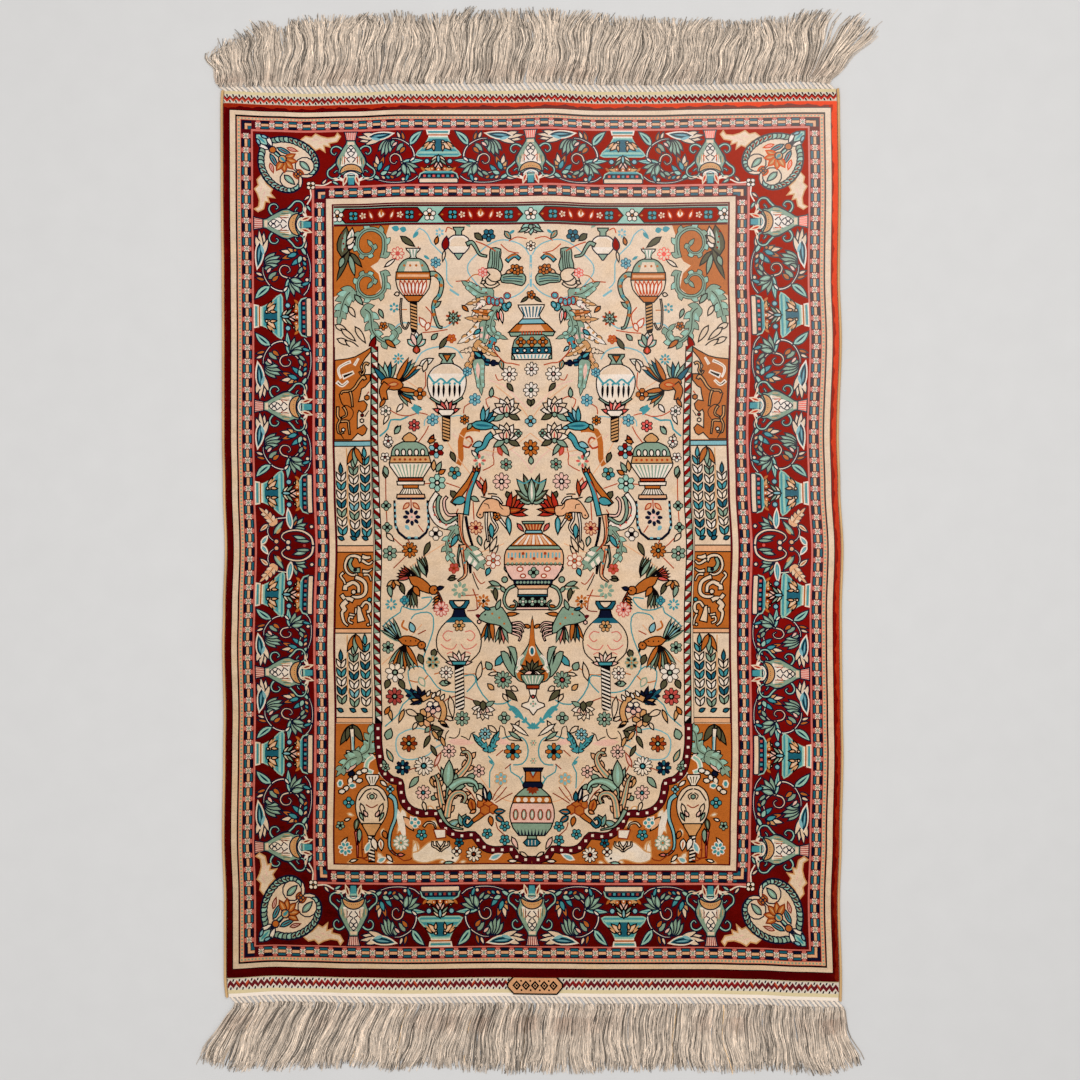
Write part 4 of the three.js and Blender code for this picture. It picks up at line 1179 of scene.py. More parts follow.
def draw_lower_spandrel_urn(chart):
    """An urn lamp on the orange ground outside the arch, with leaves above it."""
    chart.leaf(181, 620, 192, 640, 7, "moss")
    chart.leaf(180, 620, 170, 637, 7, "moss")
    chart.leaf(184, 622, 186, 636, 5, "moss")
    chart.stem(path(181, 624, 180, 636, 180, 650), 4.4, "pale", "ink", 2.6)
    chart.stem(path(180, 632, 179, 650), 1.6, "sky")
    chart.leaf(186, 646, 181, 652, 5, "pale")
    chart.leaf(174, 653, 158, 650, 6, "pink")
    chart.leaf(174, 656, 190, 669, 7, "pink")
    chart.acanthus(path(175, 652, 164, 645, 162, 630, 155, 622), 6.4, "sage", "ink", "mint", 7)
    chart.acanthus(path(173, 652, 184, 656, 193, 668), 6, "sage", "ink", "mint", 5)
    chart.stem(path(159, 652, 165, 657, 166, 665, 160, 668), 3.8, "mint", "pale")
    for out, down, dye in ((181, 669, "navy"), (177, 673, "pale"), (173, 676, "pale"), (182, 676, "pale"),
                           (180, 681, "turquoise"), (186, 684, "pale"), (192, 679, "turquoise"),
                           (190, 687, "pale"), (173, 668, "pale"), (168, 666, "pale")):
        chart.oval(out, down, 3.6, 2.6, dye, "pale" if dye == "turquoise" else "ink", out * 37 % 90, 6)
    chart.stem(path(154, 668, 149, 673, 144, 678), 1.4, "pale")
    for out, down, far_out, far_down, width in (
        (152, 676, 145, 682, 4), (134, 680, 133, 690, 3.4), (130, 704, 126, 716, 6), (128, 716, 134, 728, 5),
        (148, 724, 150, 731, 4), (184, 709, 178, 711, 3), (178, 756, 184, 758, 3), (154, 748, 148, 757, 5),
        (138, 757, 146, 758, 4), (118, 736, 112, 746, 5), (100, 716, 94, 722, 5), (104, 702, 98, 706, 4),
        (66, 757, 72, 758, 3), (92, 758, 86, 756, 3),
    ):
        chart.leaf(out, down, far_out, far_down, width, "pale", "tan" if down > 700 else "ink", corners=3)
    chart.stem(path(175.5, 727, 174, 740, 174, 753), 2.6, "rose", "crimson", 1.2)
    chart.stem(path(173, 753, 165, 753, 165, 746, 169, 745), 1.3, "crimson")
    chart.leaf(174, 714, 176, 726, 5, "moss", core="sage")
    chart.leaf(151, 734, 150, 746, 6, "pale", core="orange")
    chart.vase(160, (670, 6.4, 673, 6.6, 680, 2.6, 682, 4), "pale")
    chart.stripes(160, 672, 679, 5, 2.2, 3, "moss", 0.4)
    chart.vase(160, (681, 5, 685, 11, 692, 15, 702, 16.2, 712, 14, 720, 9.6), "cream", soft=True)
    for _ in local_mirror(chart, 160):
        chart.stem(path(0.5, 684, 6, 686, 10, 691, 13, 696), 1.4, "ink")
        chart.stem(path(1, 688, 5, 691, 3, 695), 1.2, "ink")
        chart.leaf(11, 699, 6.5, 712, 4.4, "cream")
        chart.leaf(4, 712, 8, 706, 3.4, "pink")
        chart.leaf(12, 708, 8, 716, 3, "sage")
    chart.dot(160, 692, 2.4, "sage", "ink")
    chart.stem(path(154, 700, 160, 703, 166, 700), 1.2, "rust")
    chart.vase(160, (719, 9, 722, 8.4, 729, 4.2, 731, 3.6), "tan")
    chart.block(156.4, 731, 163.6, 758, "ink")
    for k in range(7):
        chart.lay(path(157.2, 733 + 3.6 * k, 162.8, 731.4 + 3.6 * k, 162.8, 733 + 3.6 * k, 157.2,
                       734.6 + 3.6 * k),
                  "pale")
    chart.stem(path(143, 690, 137, 696, 136, 712, 141, 727, 142, 742, 137, 749, 133, 750), 4.6, "sky",
               "ink", 1.6)
    chart.leaf(134, 750, 127, 750, 3.4, "rose")
    chart.leaf(148, 726, 145, 734, 5, "orange")
    chart.leaf(172, 724, 172, 738, 5, "sage")


def local_mirror(chart, x):
    """As mirrored, but round a line of its own."""
    with chart.at(x, 0):
        yield from chart.mirrored()


def draw_pole_and_arch(chart):
    for _ in chart.mirrored():
        outer, inner, pitch = 160.6, 153.0, 10.4
        slope = -2.6 / (ARCH_SPRING - PILLAR_TOP)
        chart.lay(path(outer, PILLAR_TOP, inner, PILLAR_TOP, inner - 2.6, ARCH_SPRING + 2, outer - 2.6,
                       ARCH_SPRING + 2), "ink")
        for down in np.arange(PILLAR_TOP - 4, ARCH_SPRING - 16, pitch):
            shift = slope * (down - PILLAR_TOP)
            near, far = inner + 1.1 + shift, outer - 1.1 + shift
            chart.lay(path(near, down + 5, far, down, far, down + 3.8, near, down + 8.8), "crimson")
            chart.lay(path(far, down + 4.4, near + 0.6, down + 8.8, far, down + 9.8), "sage")
            chart.lay(path(near, down + 9.6, near, down + 15.0, far - 0.6, down + 10.3), "pale")
        chart.stem(ARCH, ARCH_WIDTH + 2, "ink", steps=2)
        chart.stem(ARCH, ARCH_WIDTH, "maroon", steps=2)
        spine = smooth(ARCH, steps=4)
        run = np.concatenate([[0], np.cumsum(abs(np.diff(spine)))])
        for place in np.arange(5, run[-1], 9.3):
            x, y = np.interp(place, run, spine.real), np.interp(place, run, spine.imag)
            chart.block(x - 1.3, y - 1.3, x + 1.3, y + 1.3, "pale")


def draw_wreath(chart):
    """A hanging mass of feathered leaves and blue petals beside the uppermost vase."""
    for numbers, width, dye, second, lobes in (
        ((40, 191, 50, 190, 58, 185, 64, 181), 7, "sage", "mint", 6),
        ((44, 197, 52, 198, 61, 200), 4.6, "tan", "cream", 4),
        ((46, 198, 53, 203, 58, 211), 3.6, "pale", "pink", 3),
        ((37, 211, 46, 210, 55, 208), 5, "orange", "peach", 4),
        ((41, 217, 51, 216, 62, 215), 5, "tan", "peach", 4),
        ((50, 223, 58, 230, 69, 237), 6.4, "pale", "tan", 6),
        ((46, 220, 47, 230, 49, 239), 6.4, "sage", "pink", 5),
        ((38, 234, 40, 240, 44, 246), 4, "turquoise", "rust", 3),
        ((54, 245, 57, 254, 65, 265), 6, "tan", "peach", 5),
        ((55, 240, 47, 246, 38, 251), 5, "tan", "cream", 4),
        ((60, 246, 64, 247, 69, 248), 3, "cream", None, 2),
        ((54, 251, 47, 258, 35, 260), 4.6, "navy", "teal", 5),
        ((53, 258, 52, 270, 50, 286), 6.2, "sage", "mint", 8),
        ((32, 203, 39, 214, 41, 224, 38, 230, 29, 234), 5.6, "sage", "mint", 6),
    ):
        chart.acanthus(path(*numbers), width, dye, "ink", second, lobes, 0, 0.4, 0.95)
    for x, y, x2, y2, width, dye, core in (
        (50, 254, 58, 248, 4, "turquoise", None), (51, 226, 58, 231, 4, "turquoise", None),
        (31, 206, 29, 220, 4, "pale", "coral"), (34, 208, 33, 217, 3, "coral", None),
        (31, 257, 29, 266, 4.6, "sage", "orange"), (37, 243, 32, 248, 3, "sky", None),
    ):
        chart.leaf(x, y, x2, y2, width, dye, "ink", core)
    chart.leaf(54, 259, 53, 276, 4, "pink", None)
    chart.stem(path(39.6, 244, 34, 252, 27, 259, 20, 260, 12, 262), 1.2, "rust")
    for x, y, width, height, turn in ((42, 197, 2.6, 4.4, 0), (38, 198, 2.4, 4, 10), (34, 199, 2.4, 3.8, -8),
                                      (29.6, 197.6, 2.4, 3.4, 20), (23.8, 192.6, 3.4, 3.2, 0),
                                      (26, 204, 3.4, 4.4, 20), (22.6, 202, 2.6, 3.6, -30)):
        chart.oval(x, y, width, height, "turquoise", "crimson" if y < 200 else "ink", turn, 8)
        chart.dot(x, y, 1.1, "sky")
    for k in range(3):
        chart.dot(54 - 4.6 * k, 182.4 + 3.4 * k, 0.9, "crimson")


def draw_ewer_lamp(chart):
    """A ribbed lamp with a stem below, a handle towards the middle and a short spout."""
    chart.vase(0, (0, 7, 1.4, 6.6, 5, 3, 8, 2.4, 10, 4), "pale")
    chart.stripes(0, 1, 9, 5.6, 2.2, 3, "sage")
    chart.vase(0, (10, 5, 12, 9.6, 17, 14, 23.6, 16.4), "sage", soft=True)
    chart.vase(0, (13, 6, 23, 9), "cream", None)
    chart.row(0, 17, 12, 4, 1.4, "orange")
    chart.vase(0, (23.6, 17, 31, 17.4), "orange")
    chart.block(-15.5, 26, 15.5, 28.4, "peach")
    chart.vase(0, (31, 17.4, 40, 15.6, 47, 10.4), "cream", soft=True)
    for k in range(7):
        place = (k - 3) / 3.2
        chart.leaf(place * 14, 32, place * 9, 47, 3.4, "pale", "rust", corners=3)
    chart.vase(0, (47, 10, 49, 8.6, 53, 5), "orange")
    chart.vase(0, (53, 5, 54, 3.8, 80, 3.6, 84, 2.4), "ink", None)
    for k in range(8):
        chart.lay(path(-3, 57 + 3.2 * k, 3, 55 + 3.2 * k, 3, 56.6 + 3.2 * k, -3, 58.6 + 3.2 * k), "tan")
    chart.stem(path(-17, 25.4, -22, 25.6, -27.4, 31, -28.4, 38, -26, 47, -21, 53, -19.6, 62, -24, 77, -28,
                    79),
               5, "sage", "ink", 2.2)
    for x, y in ((-23, 27), (-28, 37), (-21.6, 53), (-20, 66)):
        chart.dot(x, y, 1.9, "orange")
    for x, y in ((-26.6, 31), (-25.6, 47), (-20, 59)):
        chart.dot(x, y, 1.9, "turquoise")
    chart.leaf(14, 45, 19, 46, 4, "cream")
    chart.stem(path(12, 50, 13, 60, 12, 76, 8, 80, 5, 74), 1.4, "cream", "ink")
    chart.stem(path(-12, 58, -18, 66, -16, 78), 1.2, "rust")
    chart.leaf(-15, 74, -12, 82, 5, "pale", "rust")


def draw_teapot(chart):
    """A small pot with a lid, a foot and a long spout."""
    chart.vase(0, (0, 5.4, 2, 5, 4, 3, 8, 3), "sage")
    chart.vase(0, (8, 5, 11, 9.4, 16, 11, 21, 10, 26, 5.6), "pale", "navy", True)
    chart.vase(0, (10, 4, 13, 8, 19, 8.6), "cream", None)
    chart.vase(0, (26, 4.8, 28, 3.6, 32, 0.6), "sage", "navy")
    chart.leaf(14, 23, 12, 9, 7, "crimson", "navy")
    chart.stem(path(-8, 17, -13, 15, -17, 20, -21, 27, -28, 29), 4.2, "sage", "ink", 2)
    chart.stem(path(6, 2, 11, 0, 13, 5), 1.2, "rust")


def draw_swan(chart):
    """A pale water bird with a raised wing, and a leaf and a flower behind it."""
    chart.lay(smooth(path(-1, -25, -11, -24, -10.6, -16, -13, -8, -9, 0, 2, -5, 0, -15), True, 2), "sage",
              "ink")
    for k in range(4):
        chart.stem(path(-2.6 - 2.4 * k, -22, -3 - 2 * k, -12, -1.4 - 2.4 * k, -4.4), 1, "ink")
    chart.leaf(-12, 6, 6, -4, 13, "cream")
    chart.stem(path(1, 0, 5, 4, 6, 9, 2, 13, -4, 13, -9, 10), 3.4, "cream", "ink", 2.6)
    chart.lay(smooth(path(-12, 2, -24, 0, -34, 1, -36, 7, -32, 12.6, -22, 10, -12, 9), True, 2), "sage",
              "ink")
    for k in range(3):
        chart.stem(path(-13, 4 + 1.8 * k, -24, 3 + 2.4 * k, -33, 4 + 2.6 * k), 1,
                   "teal" if k == 1 else "ink")
    chart.leaf(4, 8, 9, 10, 3.4, "cream")
    chart.dot(5, 8.6, 0.8, "ink")
    chart.stem(path(-17, -12, -20, -15, -25, -17.6, -30, -14), 4, "turquoise", "ink", 3)
    chart.stem(path(-18, -14.6, -22, -17.6, -27, -18.6), 1.8, "orange")
    chart.leaf(-16, 0, -26, -4, 4, "peach")
    chart.flower(-29, -3, 5, 5, "orange", "pale")
    chart.stem(path(14, -32, 4, -28, -6, -22), 1.2, "rust")


def draw_globe_lamp(chart):
    """A pale globe on a lotus and a twisted stem, hung with blue garlands."""
    chart.vase(0, (0, 8, 2, 8, 6, 4.6, 10, 6.4), "sage")
    chart.lay(path(-4, 1.4, 4, 1.4, 0, 8), "orange", "ink")
    chart.vase(0, (10, 5, 14, 13, 22, 18.6, 32, 19.2, 42, 16, 52, 8, 58, 6), "pale", soft=True)
    chart.vase(0, (11, 6, 16, 13, 20, 16.4), "cream", None)
    for _ in chart.mirrored():
        chart.stem(path(18, 22, 12, 29, 6, 25, 0, 30), 2, "turquoise")
        for k in range(3):
            chart.leaf(3 + 5 * k, 30, 3 + 5 * k, 44, 2.6, "ink", None)
            chart.dot(3 + 5 * k, 30, 1.4, "turquoise")
    chart.stem(path(-16, 44, -8, 49, 0, 50, 8, 49, 16, 44), 2, "sage", "ink")
    chart.fan(0, 60, 14, -160, -20, 7, 5, ["coral", "pink"])
    chart.vase(0, (56, 7, 58, 8, 62, 4.6), "pale")
    chart.vase(0, (62, 4.4, 86, 4.2, 88, 2.6), "ink", None)
    for k in range(7):
        chart.lay(path(-3.4, 66 + 3.2 * k, 3.4, 63.6 + 3.2 * k, 3.4, 65.4 + 3.2 * k, -3.4,
                       67.8 + 3.2 * k), "tan")
    for _ in chart.mirrored():
        chart.stem(path(5, 63, 14, 62, 21, 66, 22, 72), 1.2, "sky")


def draw_domed_lamp(chart):
    """A domed lamp with a scalloped bowl, and a bordered pendant below it."""
    chart.vase(0, (0, 1, 3, 5.4, 6, 7.4, 9, 4.6), "tan")
    chart.vase(0, (9, 7, 13, 15, 18, 18, 23, 18.8), "sage", soft=True)
    for k in range(5):
        chart.oval((k - 2) * 6.4, 19.6, 2.2, 3.4, "pale", "ink", corners=8)
    chart.vase(0, (23, 19, 30, 20.8), "tan")
    chart.row(0, 26.6, 18, 7, 1.5, "rust")
    chart.vase(0, (30, 21, 33, 20.4, 44.6, 12.6), "pale")
    chart.stripes(0, 31.4, 44, 18.6, 11.4, 9, "sage", 0.4)
    chart.vase(0, (45, 12.6, 48, 12.2), "rust")
    chart.vase(0, (48.4, 13.8, 52, 13.2), "pale")
    chart.vase(0, (52, 7.8, 55.4, 7.4), "orange")
    chart.vase(0, (55.4, 7.4, 61.4, 11.4), "pale")
    chart.stripes(0, 56, 61, 7, 10.6, 7, "moss", 0.4)
    chart.vase(0, (61.4, 13.6, 65, 14.2), "peach")
    chart.vase(0, (65.4, 14.2, 68, 13.2), "navy", None)
    chart.lay(path(-17, 68, -17.4, 92, -14, 100, -7, 106, 7, 106, 14, 100, 17.4, 92, 17, 68), "navy", "ink")
    chart.lay(path(-15.4, 66.8, -15.6, 91.4, -12.8, 98.6, -6.4, 104, 6.4, 104, 12.8, 98.6, 15.6, 91.4,
                   15.4, 66.8),
              "cream", None)
    for _ in chart.mirrored():
        for k in range(5):
            chart.block(15.2, 70.5 + 5.6 * k, 17.2, 73 + 5.6 * k, "sky")
        chart.leaf(2, 70, 8, 76, 4, "peach", "rust")
        chart.block(2, 103.4, 5, 105.4, "sky")
    chart.stem(path(0, 66, 0, 76), 1.2, "rust")
    chart.flower(0, 84, 9.6, 8, "navy", "cream", None)
    chart.dot(0, 84, 4, "pink", None, 8)
    chart.dot(0, 84, 1.2, "sage")
    chart.leaf(7, 92, 3, 97, 4, "sky", None)
    chart.stem(path(-6, 92, -11, 99), 1.1, "rust")


def draw_stemmed_lamp(chart):
    """A large pale lamp with a dark neck on a lotus and a striped column."""
    chart.vase(0, (0.6, 9.6, 3, 9.8, 8.6, 6.4), "teal")
    chart.vase(0, (1, 6, 4, 4.6, 7, 1.4), "cream")
    chart.vase(0, (9.4, 5, 13, 5.6, 17, 7.4, 21, 12), "navy")
    chart.vase(0, (18, 7, 23, 14, 31, 20, 41, 22.4, 52, 20.4, 59, 14, 65, 7), "cream", soft=True)
    chart.vase(0, (17.4, 7.4, 20, 11, 22.6, 13.6), "teal", None)
    for _ in chart.mirrored():
        chart.stem(path(6, 32, 12, 31, 16, 36, 12, 41, 8, 39), 1.1, "rose")
        chart.stem(path(2, 44, 6, 49, 13, 48, 18, 44), 1.1, "rose")
        chart.stem(path(4, 54, 8, 52, 12, 54), 1.0, "rose")
    chart.flower(0, 25.6, 6, 6, "tan", "sage")
    chart.fan(0, 64, 13, -172, -8, 7, 4.6, ["pink", "pale"])
    chart.vase(0, (61.4, 7.6, 65, 6), "turquoise")
    chart.vase(0, (65.6, 4.8, 107, 4.8, 110, 3), "ink", None)
    for k in range(11):
        chart.lay(path(-4.2, 67 + 3.8 * k, 4.2, 70.6 + 3.8 * k, 4.2, 72.4 + 3.8 * k, -4.2,
                       68.8 + 3.8 * k), "pale")


def draw_fruit_bird(chart):
    """An orange bird with two raised wings and a striped tail."""
    chart.fan(5, -4, 21, -116, -50, 5, 5.4, ["sage", "teal", "mint"])
    chart.fan(-4, -4, 28, -150, -116, 5, 5.4, ["teal", "orange", "sage"])
    chart.fan(-6, 2, 20, 120, 172, 5, 5, ["sage", "orange", "teal"])
    chart.oval(0, -3, 11.4, 6, "orange", "ink", -12, 12)
    chart.stem(path(5, -3, 9, 3, 8, 9, 7, 13), 8, "orange", "ink", 6)
    chart.leaf(7, 12, 12, 20, 4, "orange")
    chart.leaf(-6, -3, 4, -2, 4, "tan", "rust")
    chart.dot(8, 11, 1.0, "ink")


def draw_peacock(chart):
    """A blue bird that stands on its head, with long curved and hanging feathers."""
    for x, y, dye in ((-5, -27, "rust"), (-2, -29, "orange"), (2, -28, "rust")):
        chart.leaf(0, -18, x, y, 3, dye, "ink")
    chart.stem(path(1, -22, 7, -12, 14, -3, 23, 9), 5, "orange", "ink", 6)
    chart.leaf(10, 4, 24, 8, 8, "turquoise")
    chart.stem(path(-2, -23, 3, -12, 7, 0, 10.6, 20), 3.6, "turquoise", "ink", 5)
    chart.stem(path(3, -14, 8, -4, 11, 6), 1.2, "rust")
    for width, tip, dye, numbers in (
        (4.6, 6.0, "pale", (38.6, -2, 45, 8, 45, 18, 39, 28, 29, 32, 20, 27)),
        (3.4, 3.0, "sage", (35.6, 1, 38, 6, 38, 18, 31, 28, 18, 21)),
        (2.6, 2.6, "pink", (28.9, 2, 31.8, 6, 31.6, 14, 28, 20, 20, 20)),
        (5.4, 1.2, "peach", (16, 19, 17, 34, 14, 48, 5, 57)), (1.6, 1.2, "navy", (11, 22, 9, 38, 4, 56)),
        (2.0, 0.8, "sage", (18, 50, 20, 64, 18, 72)), (6.4, 1.4, "peach", (15, 50, 13, 66, 12, 80, 19, 86)),
        (3.0, 1.0, "ink", (8, 66, 7, 78)),
    ):
        chart.stem(path(*numbers), width, dye, "ink", tip)
    chart.acanthus(path(20, 31, 29, 44, 31, 56, 25, 66), 5, "sage", "ink", "mint", 4)
    chart.leaf(20, 40, 27, 52, 5, "turquoise")
    chart.acanthus(path(10, 56, 3, 63, -3, 70), 7, "sage", "ink", "pale", 5)
    for width, dye, numbers in (
        (1.2, "rust", (17, 20, 17, 34, 14, 47, 6, 56)), (1.2, "rust", (15, 52, 13.4, 66, 12.4, 79)),
        (1.2, "rust", (4, 94, 0, 104, -1, 114)), (1.1, "ink", (-1, 106, -5, 109, -12, 104)),
        (1.1, "crimson", (-4, 110, 0, 115, 9, 116)),
    ):
        chart.stem(path(*numbers), width, dye)
    for x, y, dye in ((42, 12, "coral"), (42, 20, "coral"), (37, 27, "coral"), (31, 30, "coral"), (29, 46,
            "crimson"),
                      (28, 52, "crimson"), (16, 54, "turquoise"), (13, 68, "turquoise"), (0, 103, "orange")):
        chart.dot(x, y, 1.2, dye)


def draw_antelope(chart):
    """A pale animal lying down, with a flame of a tail and blue shapes between its legs."""
    chart.fan(-15, 8, 20, 168, 256, 6, 5.6, ["scarlet", "rust", "scarlet"])
    chart.leaf(-12, 8, -30, 6, 6, "rust", core="orange")
    for width, tip, numbers in ((2.6, 1.4, (6, 9, 7, 22, 6, 38)), (2.6, 1.6, (1, 8, 0, 16, -4, 24, 2, 33)),
                                (3.4, 1.4, (-2, 8, -9, 18, -15, 27)), (3.0, 1.6, (0, -6, -6, -5, -10, 0))):
        chart.stem(path(*numbers), width, "pale", "ink", tip)
    body = path(14.6, 8, 12, 3, 9.4, -1, 6, -4, 0, -5, -6, -3, -10, 2, -17, 3, -17, 11.6, -10, 12.4, -3, 8.6,
                5, 8.4, 9, 8.8, 9.6, 12.6, 12.6, 14.6, 16, 12)
    chart.lay(smooth(body, True, 2), "peach", "ink")
    for width, numbers in ((1.3, (11, -7, 5, -5.4, -1, -5)), (1.4, (4, -9.6, -1, -9.8, -5.4, -9.2)),
                           (0.9, (8, 0, 4, 1, 3, 5)), (0.9, (-7, -2, -8, 3, -11, 6))):
        chart.stem(path(*numbers), width, "ink")
    chart.dot(12.6, 11, 1.0, "ink")
    chart.leaf(2.4, 20, 1.6, 35, 5, "turquoise")
    chart.leaf(-15, 13, -16, 31, 5.4, "turquoise", core="sky")


def draw_orange_bird(chart):
    """A flying bird with a rust crown of a tail and dark striped wings."""
    chart.fan(2, 4, 20, -82, -48, 5, 4, ["moss", "ink", "sage"], None)
    chart.fan(-4, -2, 20, -84, -60, 4, 4.4, ["moss", "sage"])
    chart.fan(9, 9, 21, 66, 104, 5, 4.2, ["moss", "sage"])
    chart.fan(12, -1, 13, -60, 12, 6, 3.6, ["rust", "coral"])
    chart.leaf(14, -2, -14, 16, 11, "orange")
    chart.leaf(8, 8, 2, 18, 6, "orange")
    chart.dot(-12, 12, 4.6, "orange", "ink", 8)
    chart.dot(-13, 12, 1.0, "ink")
    chart.leaf(-15, 11, -22, 9, 4, "navy")
    chart.stem(path(-16, 14, -20, 22, -22, 30), 1.6, "rust", "ink")
    for k in range(4):
        chart.leaf(-18, 18 + 3 * k, -12, 21 + 3 * k, 2.6, "orange", "ink", corners=3)
    chart.fan(28, 2, 9, 40, 140, 3, 4, ["tan", "orange"])


def draw_fan_bird(chart):
    """A small orange bird over a wide striped tail and one raised wing."""
    chart.fan(9, 2, 24, -30, -62, 5, 4.2, ["sage", "ink", "sage"], None)
    chart.fan(8, 0, 25, -26, -68, 5, 3.0, ["sage", "sky"])
    chart.fan(4, 4, 26, 48, 118, 8, 5, ["sage", "orange", "moss"])
    chart.leaf(12, -1, -14, 3, 10, "orange")
    chart.dot(-12, 5, 4, "orange", "ink", 8)
    chart.leaf(-14, 7, -16, 13, 2.6, "ink", None)
    chart.dot(-12, 4.6, 0.9, "ink")
    for k in range(3):
        chart.dot(4 - 5 * k, 0.6, 0.8, "ink")
    chart.stem(path(-8, -6, -16, -10), 1.2, "rust")
    chart.leaf(-4, -8, 0, -18, 6, "sky")
    chart.stem(path(2, -10, 8, -14, 6, -20), 2, "orange")


def draw_crested_bird(chart):
    """A sage bird with a red beak, hanging striped wings and a brown feathered tail."""
    chart.fan(5, 4, 22, 62, 96, 4, 4.6, ["orange", "teal", "moss"])
    chart.fan(-6, 8, 20, 70, 108, 4, 4, ["sage", "moss", "rose"])
    body = smooth(path(18, 2, 10, -6, 2, -9, -6, -8, -14, 6, -17, 16, -12, 17, -4, 10, 6, 8, 12, 6), True, 2)
    chart.lay(body, "sage", "ink")
    chart.leaf(0, -6, -4, -16, 4.6, "sage")
    chart.leaf(6, -6, 14, -9, 3, "teal")
    chart.leaf(16, 1, 21, -1, 4, "maroon", None)
    chart.dot(17, 6, 2, "pink", "ink")
    chart.dot(11, -1, 1.1, "ink")
    for x, y in ((4, -2), (-3, 2), (-8, 8)):
        chart.dot(x, y, 1.2, "orange")
    for k in range(4):
        chart.stem(path(-16, 8 + 3 * k, -24, 7 + 4.5 * k, -29 + 2 * k, 12 + 4.4 * k), 2.4, "pink", "ink",
                   1.4)
    chart.leaf(-12, -8, -24, -8, 5.6, "orange")


def draw_crane(chart):
    """A bending beast with a dark wing, blossom on its back and a tan flower under it."""
    chart.acanthus(path(4, -2, 10, -6, 17, -11), 5, "teal", "ink", "navy", 4)
    for x, y in ((7, -16), (0, -12), (12, -9)):
        chart.leaf(3, -4, x, y, 4, "navy", "ink")
    chart.leaf(14, -3, 2, -1, 3.4, "tan")
    chart.leaf(14, 2, 2, -2, 3, "navy")
    for k in range(6):
        angle = 0.9 + k * 2 * math.pi / 6
        chart.oval(-0.2 + 5 * math.cos(angle), 15.6 + 5.4 * math.sin(angle), 4.4, 3.4,
                   "peach" if k % 2 else "tan",
                   "ink", math.degrees(angle), 6)
    chart.leaf(2, 19, 10, 11, 8, "moss")
    for x, y, x2, y2, width, dye in ((19, 8, 7, 13, 6, "cream"), (21, 7, 26, 20, 4, "tan"),
                                     (-5, 24, -18, 28, 4, "moss"), (-5, 33, 1, 45, 4.4, "moss"),
                                     (-7, 28, -14, 38, 4, "tan"), (8, 20, 12, 27, 4, "cream")):
        chart.leaf(x, y, x2, y2, width, dye, "ink")
    chart.stem(path(-5, 23, -5, 33), 1.1, "rust")
    chart.stem(path(3, -3, -7, -7, -16, 0, -19, 10, -16, 20), 5.6, "tan", "ink", 5.6)
    chart.leaf(-15, 19, -23, 25, 4, "tan")
    chart.leaf(-17, 22, -23, 24.6, 2, "ink")
    chart.dot(-16, 18.6, 1.0, "ink")
    for x, y in ((-4, -9), (-9, -7), (-14, -9), (-18, -5)):
        chart.leaf(x + 2, y + 3, x - 1.6, y - 3, 3.6, "pale", "ink")
    for x, y in ((-5, 2), (-11, 2), (-13, 7), (-8, 9), (-3, 7)):
        chart.oval(x, y, 3.2, 2.8, "pink" if y > 5 else "pale", "navy", 20, 6)
    chart.dot(-8.4, 5, 1.6, "navy")


def draw_toothed_leaf(chart, numbers, width, tip, dye, core, teeth):
    """A long curling leaf with pointed teeth on both edges and a second dye down its middle."""
    line = smooth(path(*numbers), steps=4)
    ahead = np.gradient(line)
    ahead /= abs(ahead)
    for k in np.linspace(1, len(line) - 4, teeth).astype(int):
        taper = 1 - 0.5 * k / len(line)
        for way in (1, -1):
            far = line[k] + (1.25 + 0.9j * way) * ahead[k] * width * taper
            chart.leaf(line[k].real, line[k].imag, far.real, far.imag, width * 0.95 * taper, dye, "ink",
                       corners=3)
    chart.stem(path(*numbers), width, dye, "ink", tip)
    chart.stem(path(*numbers), width * 0.3, core, None, tip * 0.5)


def draw_acanthus_plant(chart):
    """A plant of large curling leaves at the foot of the niche."""
    chart.stem(path(-16, -38, -21, -34, -26, -26), 1.2, "rust")
    chart.stem(path(2.4, -8, 2, -26, 1.4, -42), 3, "sage", "ink")
    for numbers, width, tip, dye, core, teeth in (
        ((2.5, -10, 7.3, -24, 10, -37, 11.6, -45, 14.6, -51), 7.0, 2.0, "peach", "sage", 4),
        ((2, -9, -0.6, -26, -6, -33, -13, -33.3, -16.4, -29, -14.3, -23.5), 6.6, 3.0, "peach", "sage", 5),
        ((-2.3, -45, -10.7, -52, -18, -61.4, -20, -69, -17, -74, -12.5, -73.7), 7.4, 2.4, "peach", "sage",
         4),
        ((0, -38.6, -9.5, -44.6, -19, -45.8, -25.8, -42.8, -28.3, -36.7), 9.0, 2.0, "sage", "mint", 3),
    ):
        draw_toothed_leaf(chart, numbers, width, tip, dye, core, teeth)
    for x, y, x2, y2, width in ((4, -44, 8.6, -59, 5), (0, -46, -5, -57, 4.6), (1.9, -39, 0.7, -66.5, 11)):
        chart.leaf(x, y, x2, y2, width, "sage", "ink", "mint")
    chart.stem(path(9.8, -17, 4.9, -7.2, -2.3, 0, -14.3, 3), 4.4, "sage", "ink", 1.4)
    chart.leaf(-13.4, 0, -10, -12, 5, "sage", core="turquoise")


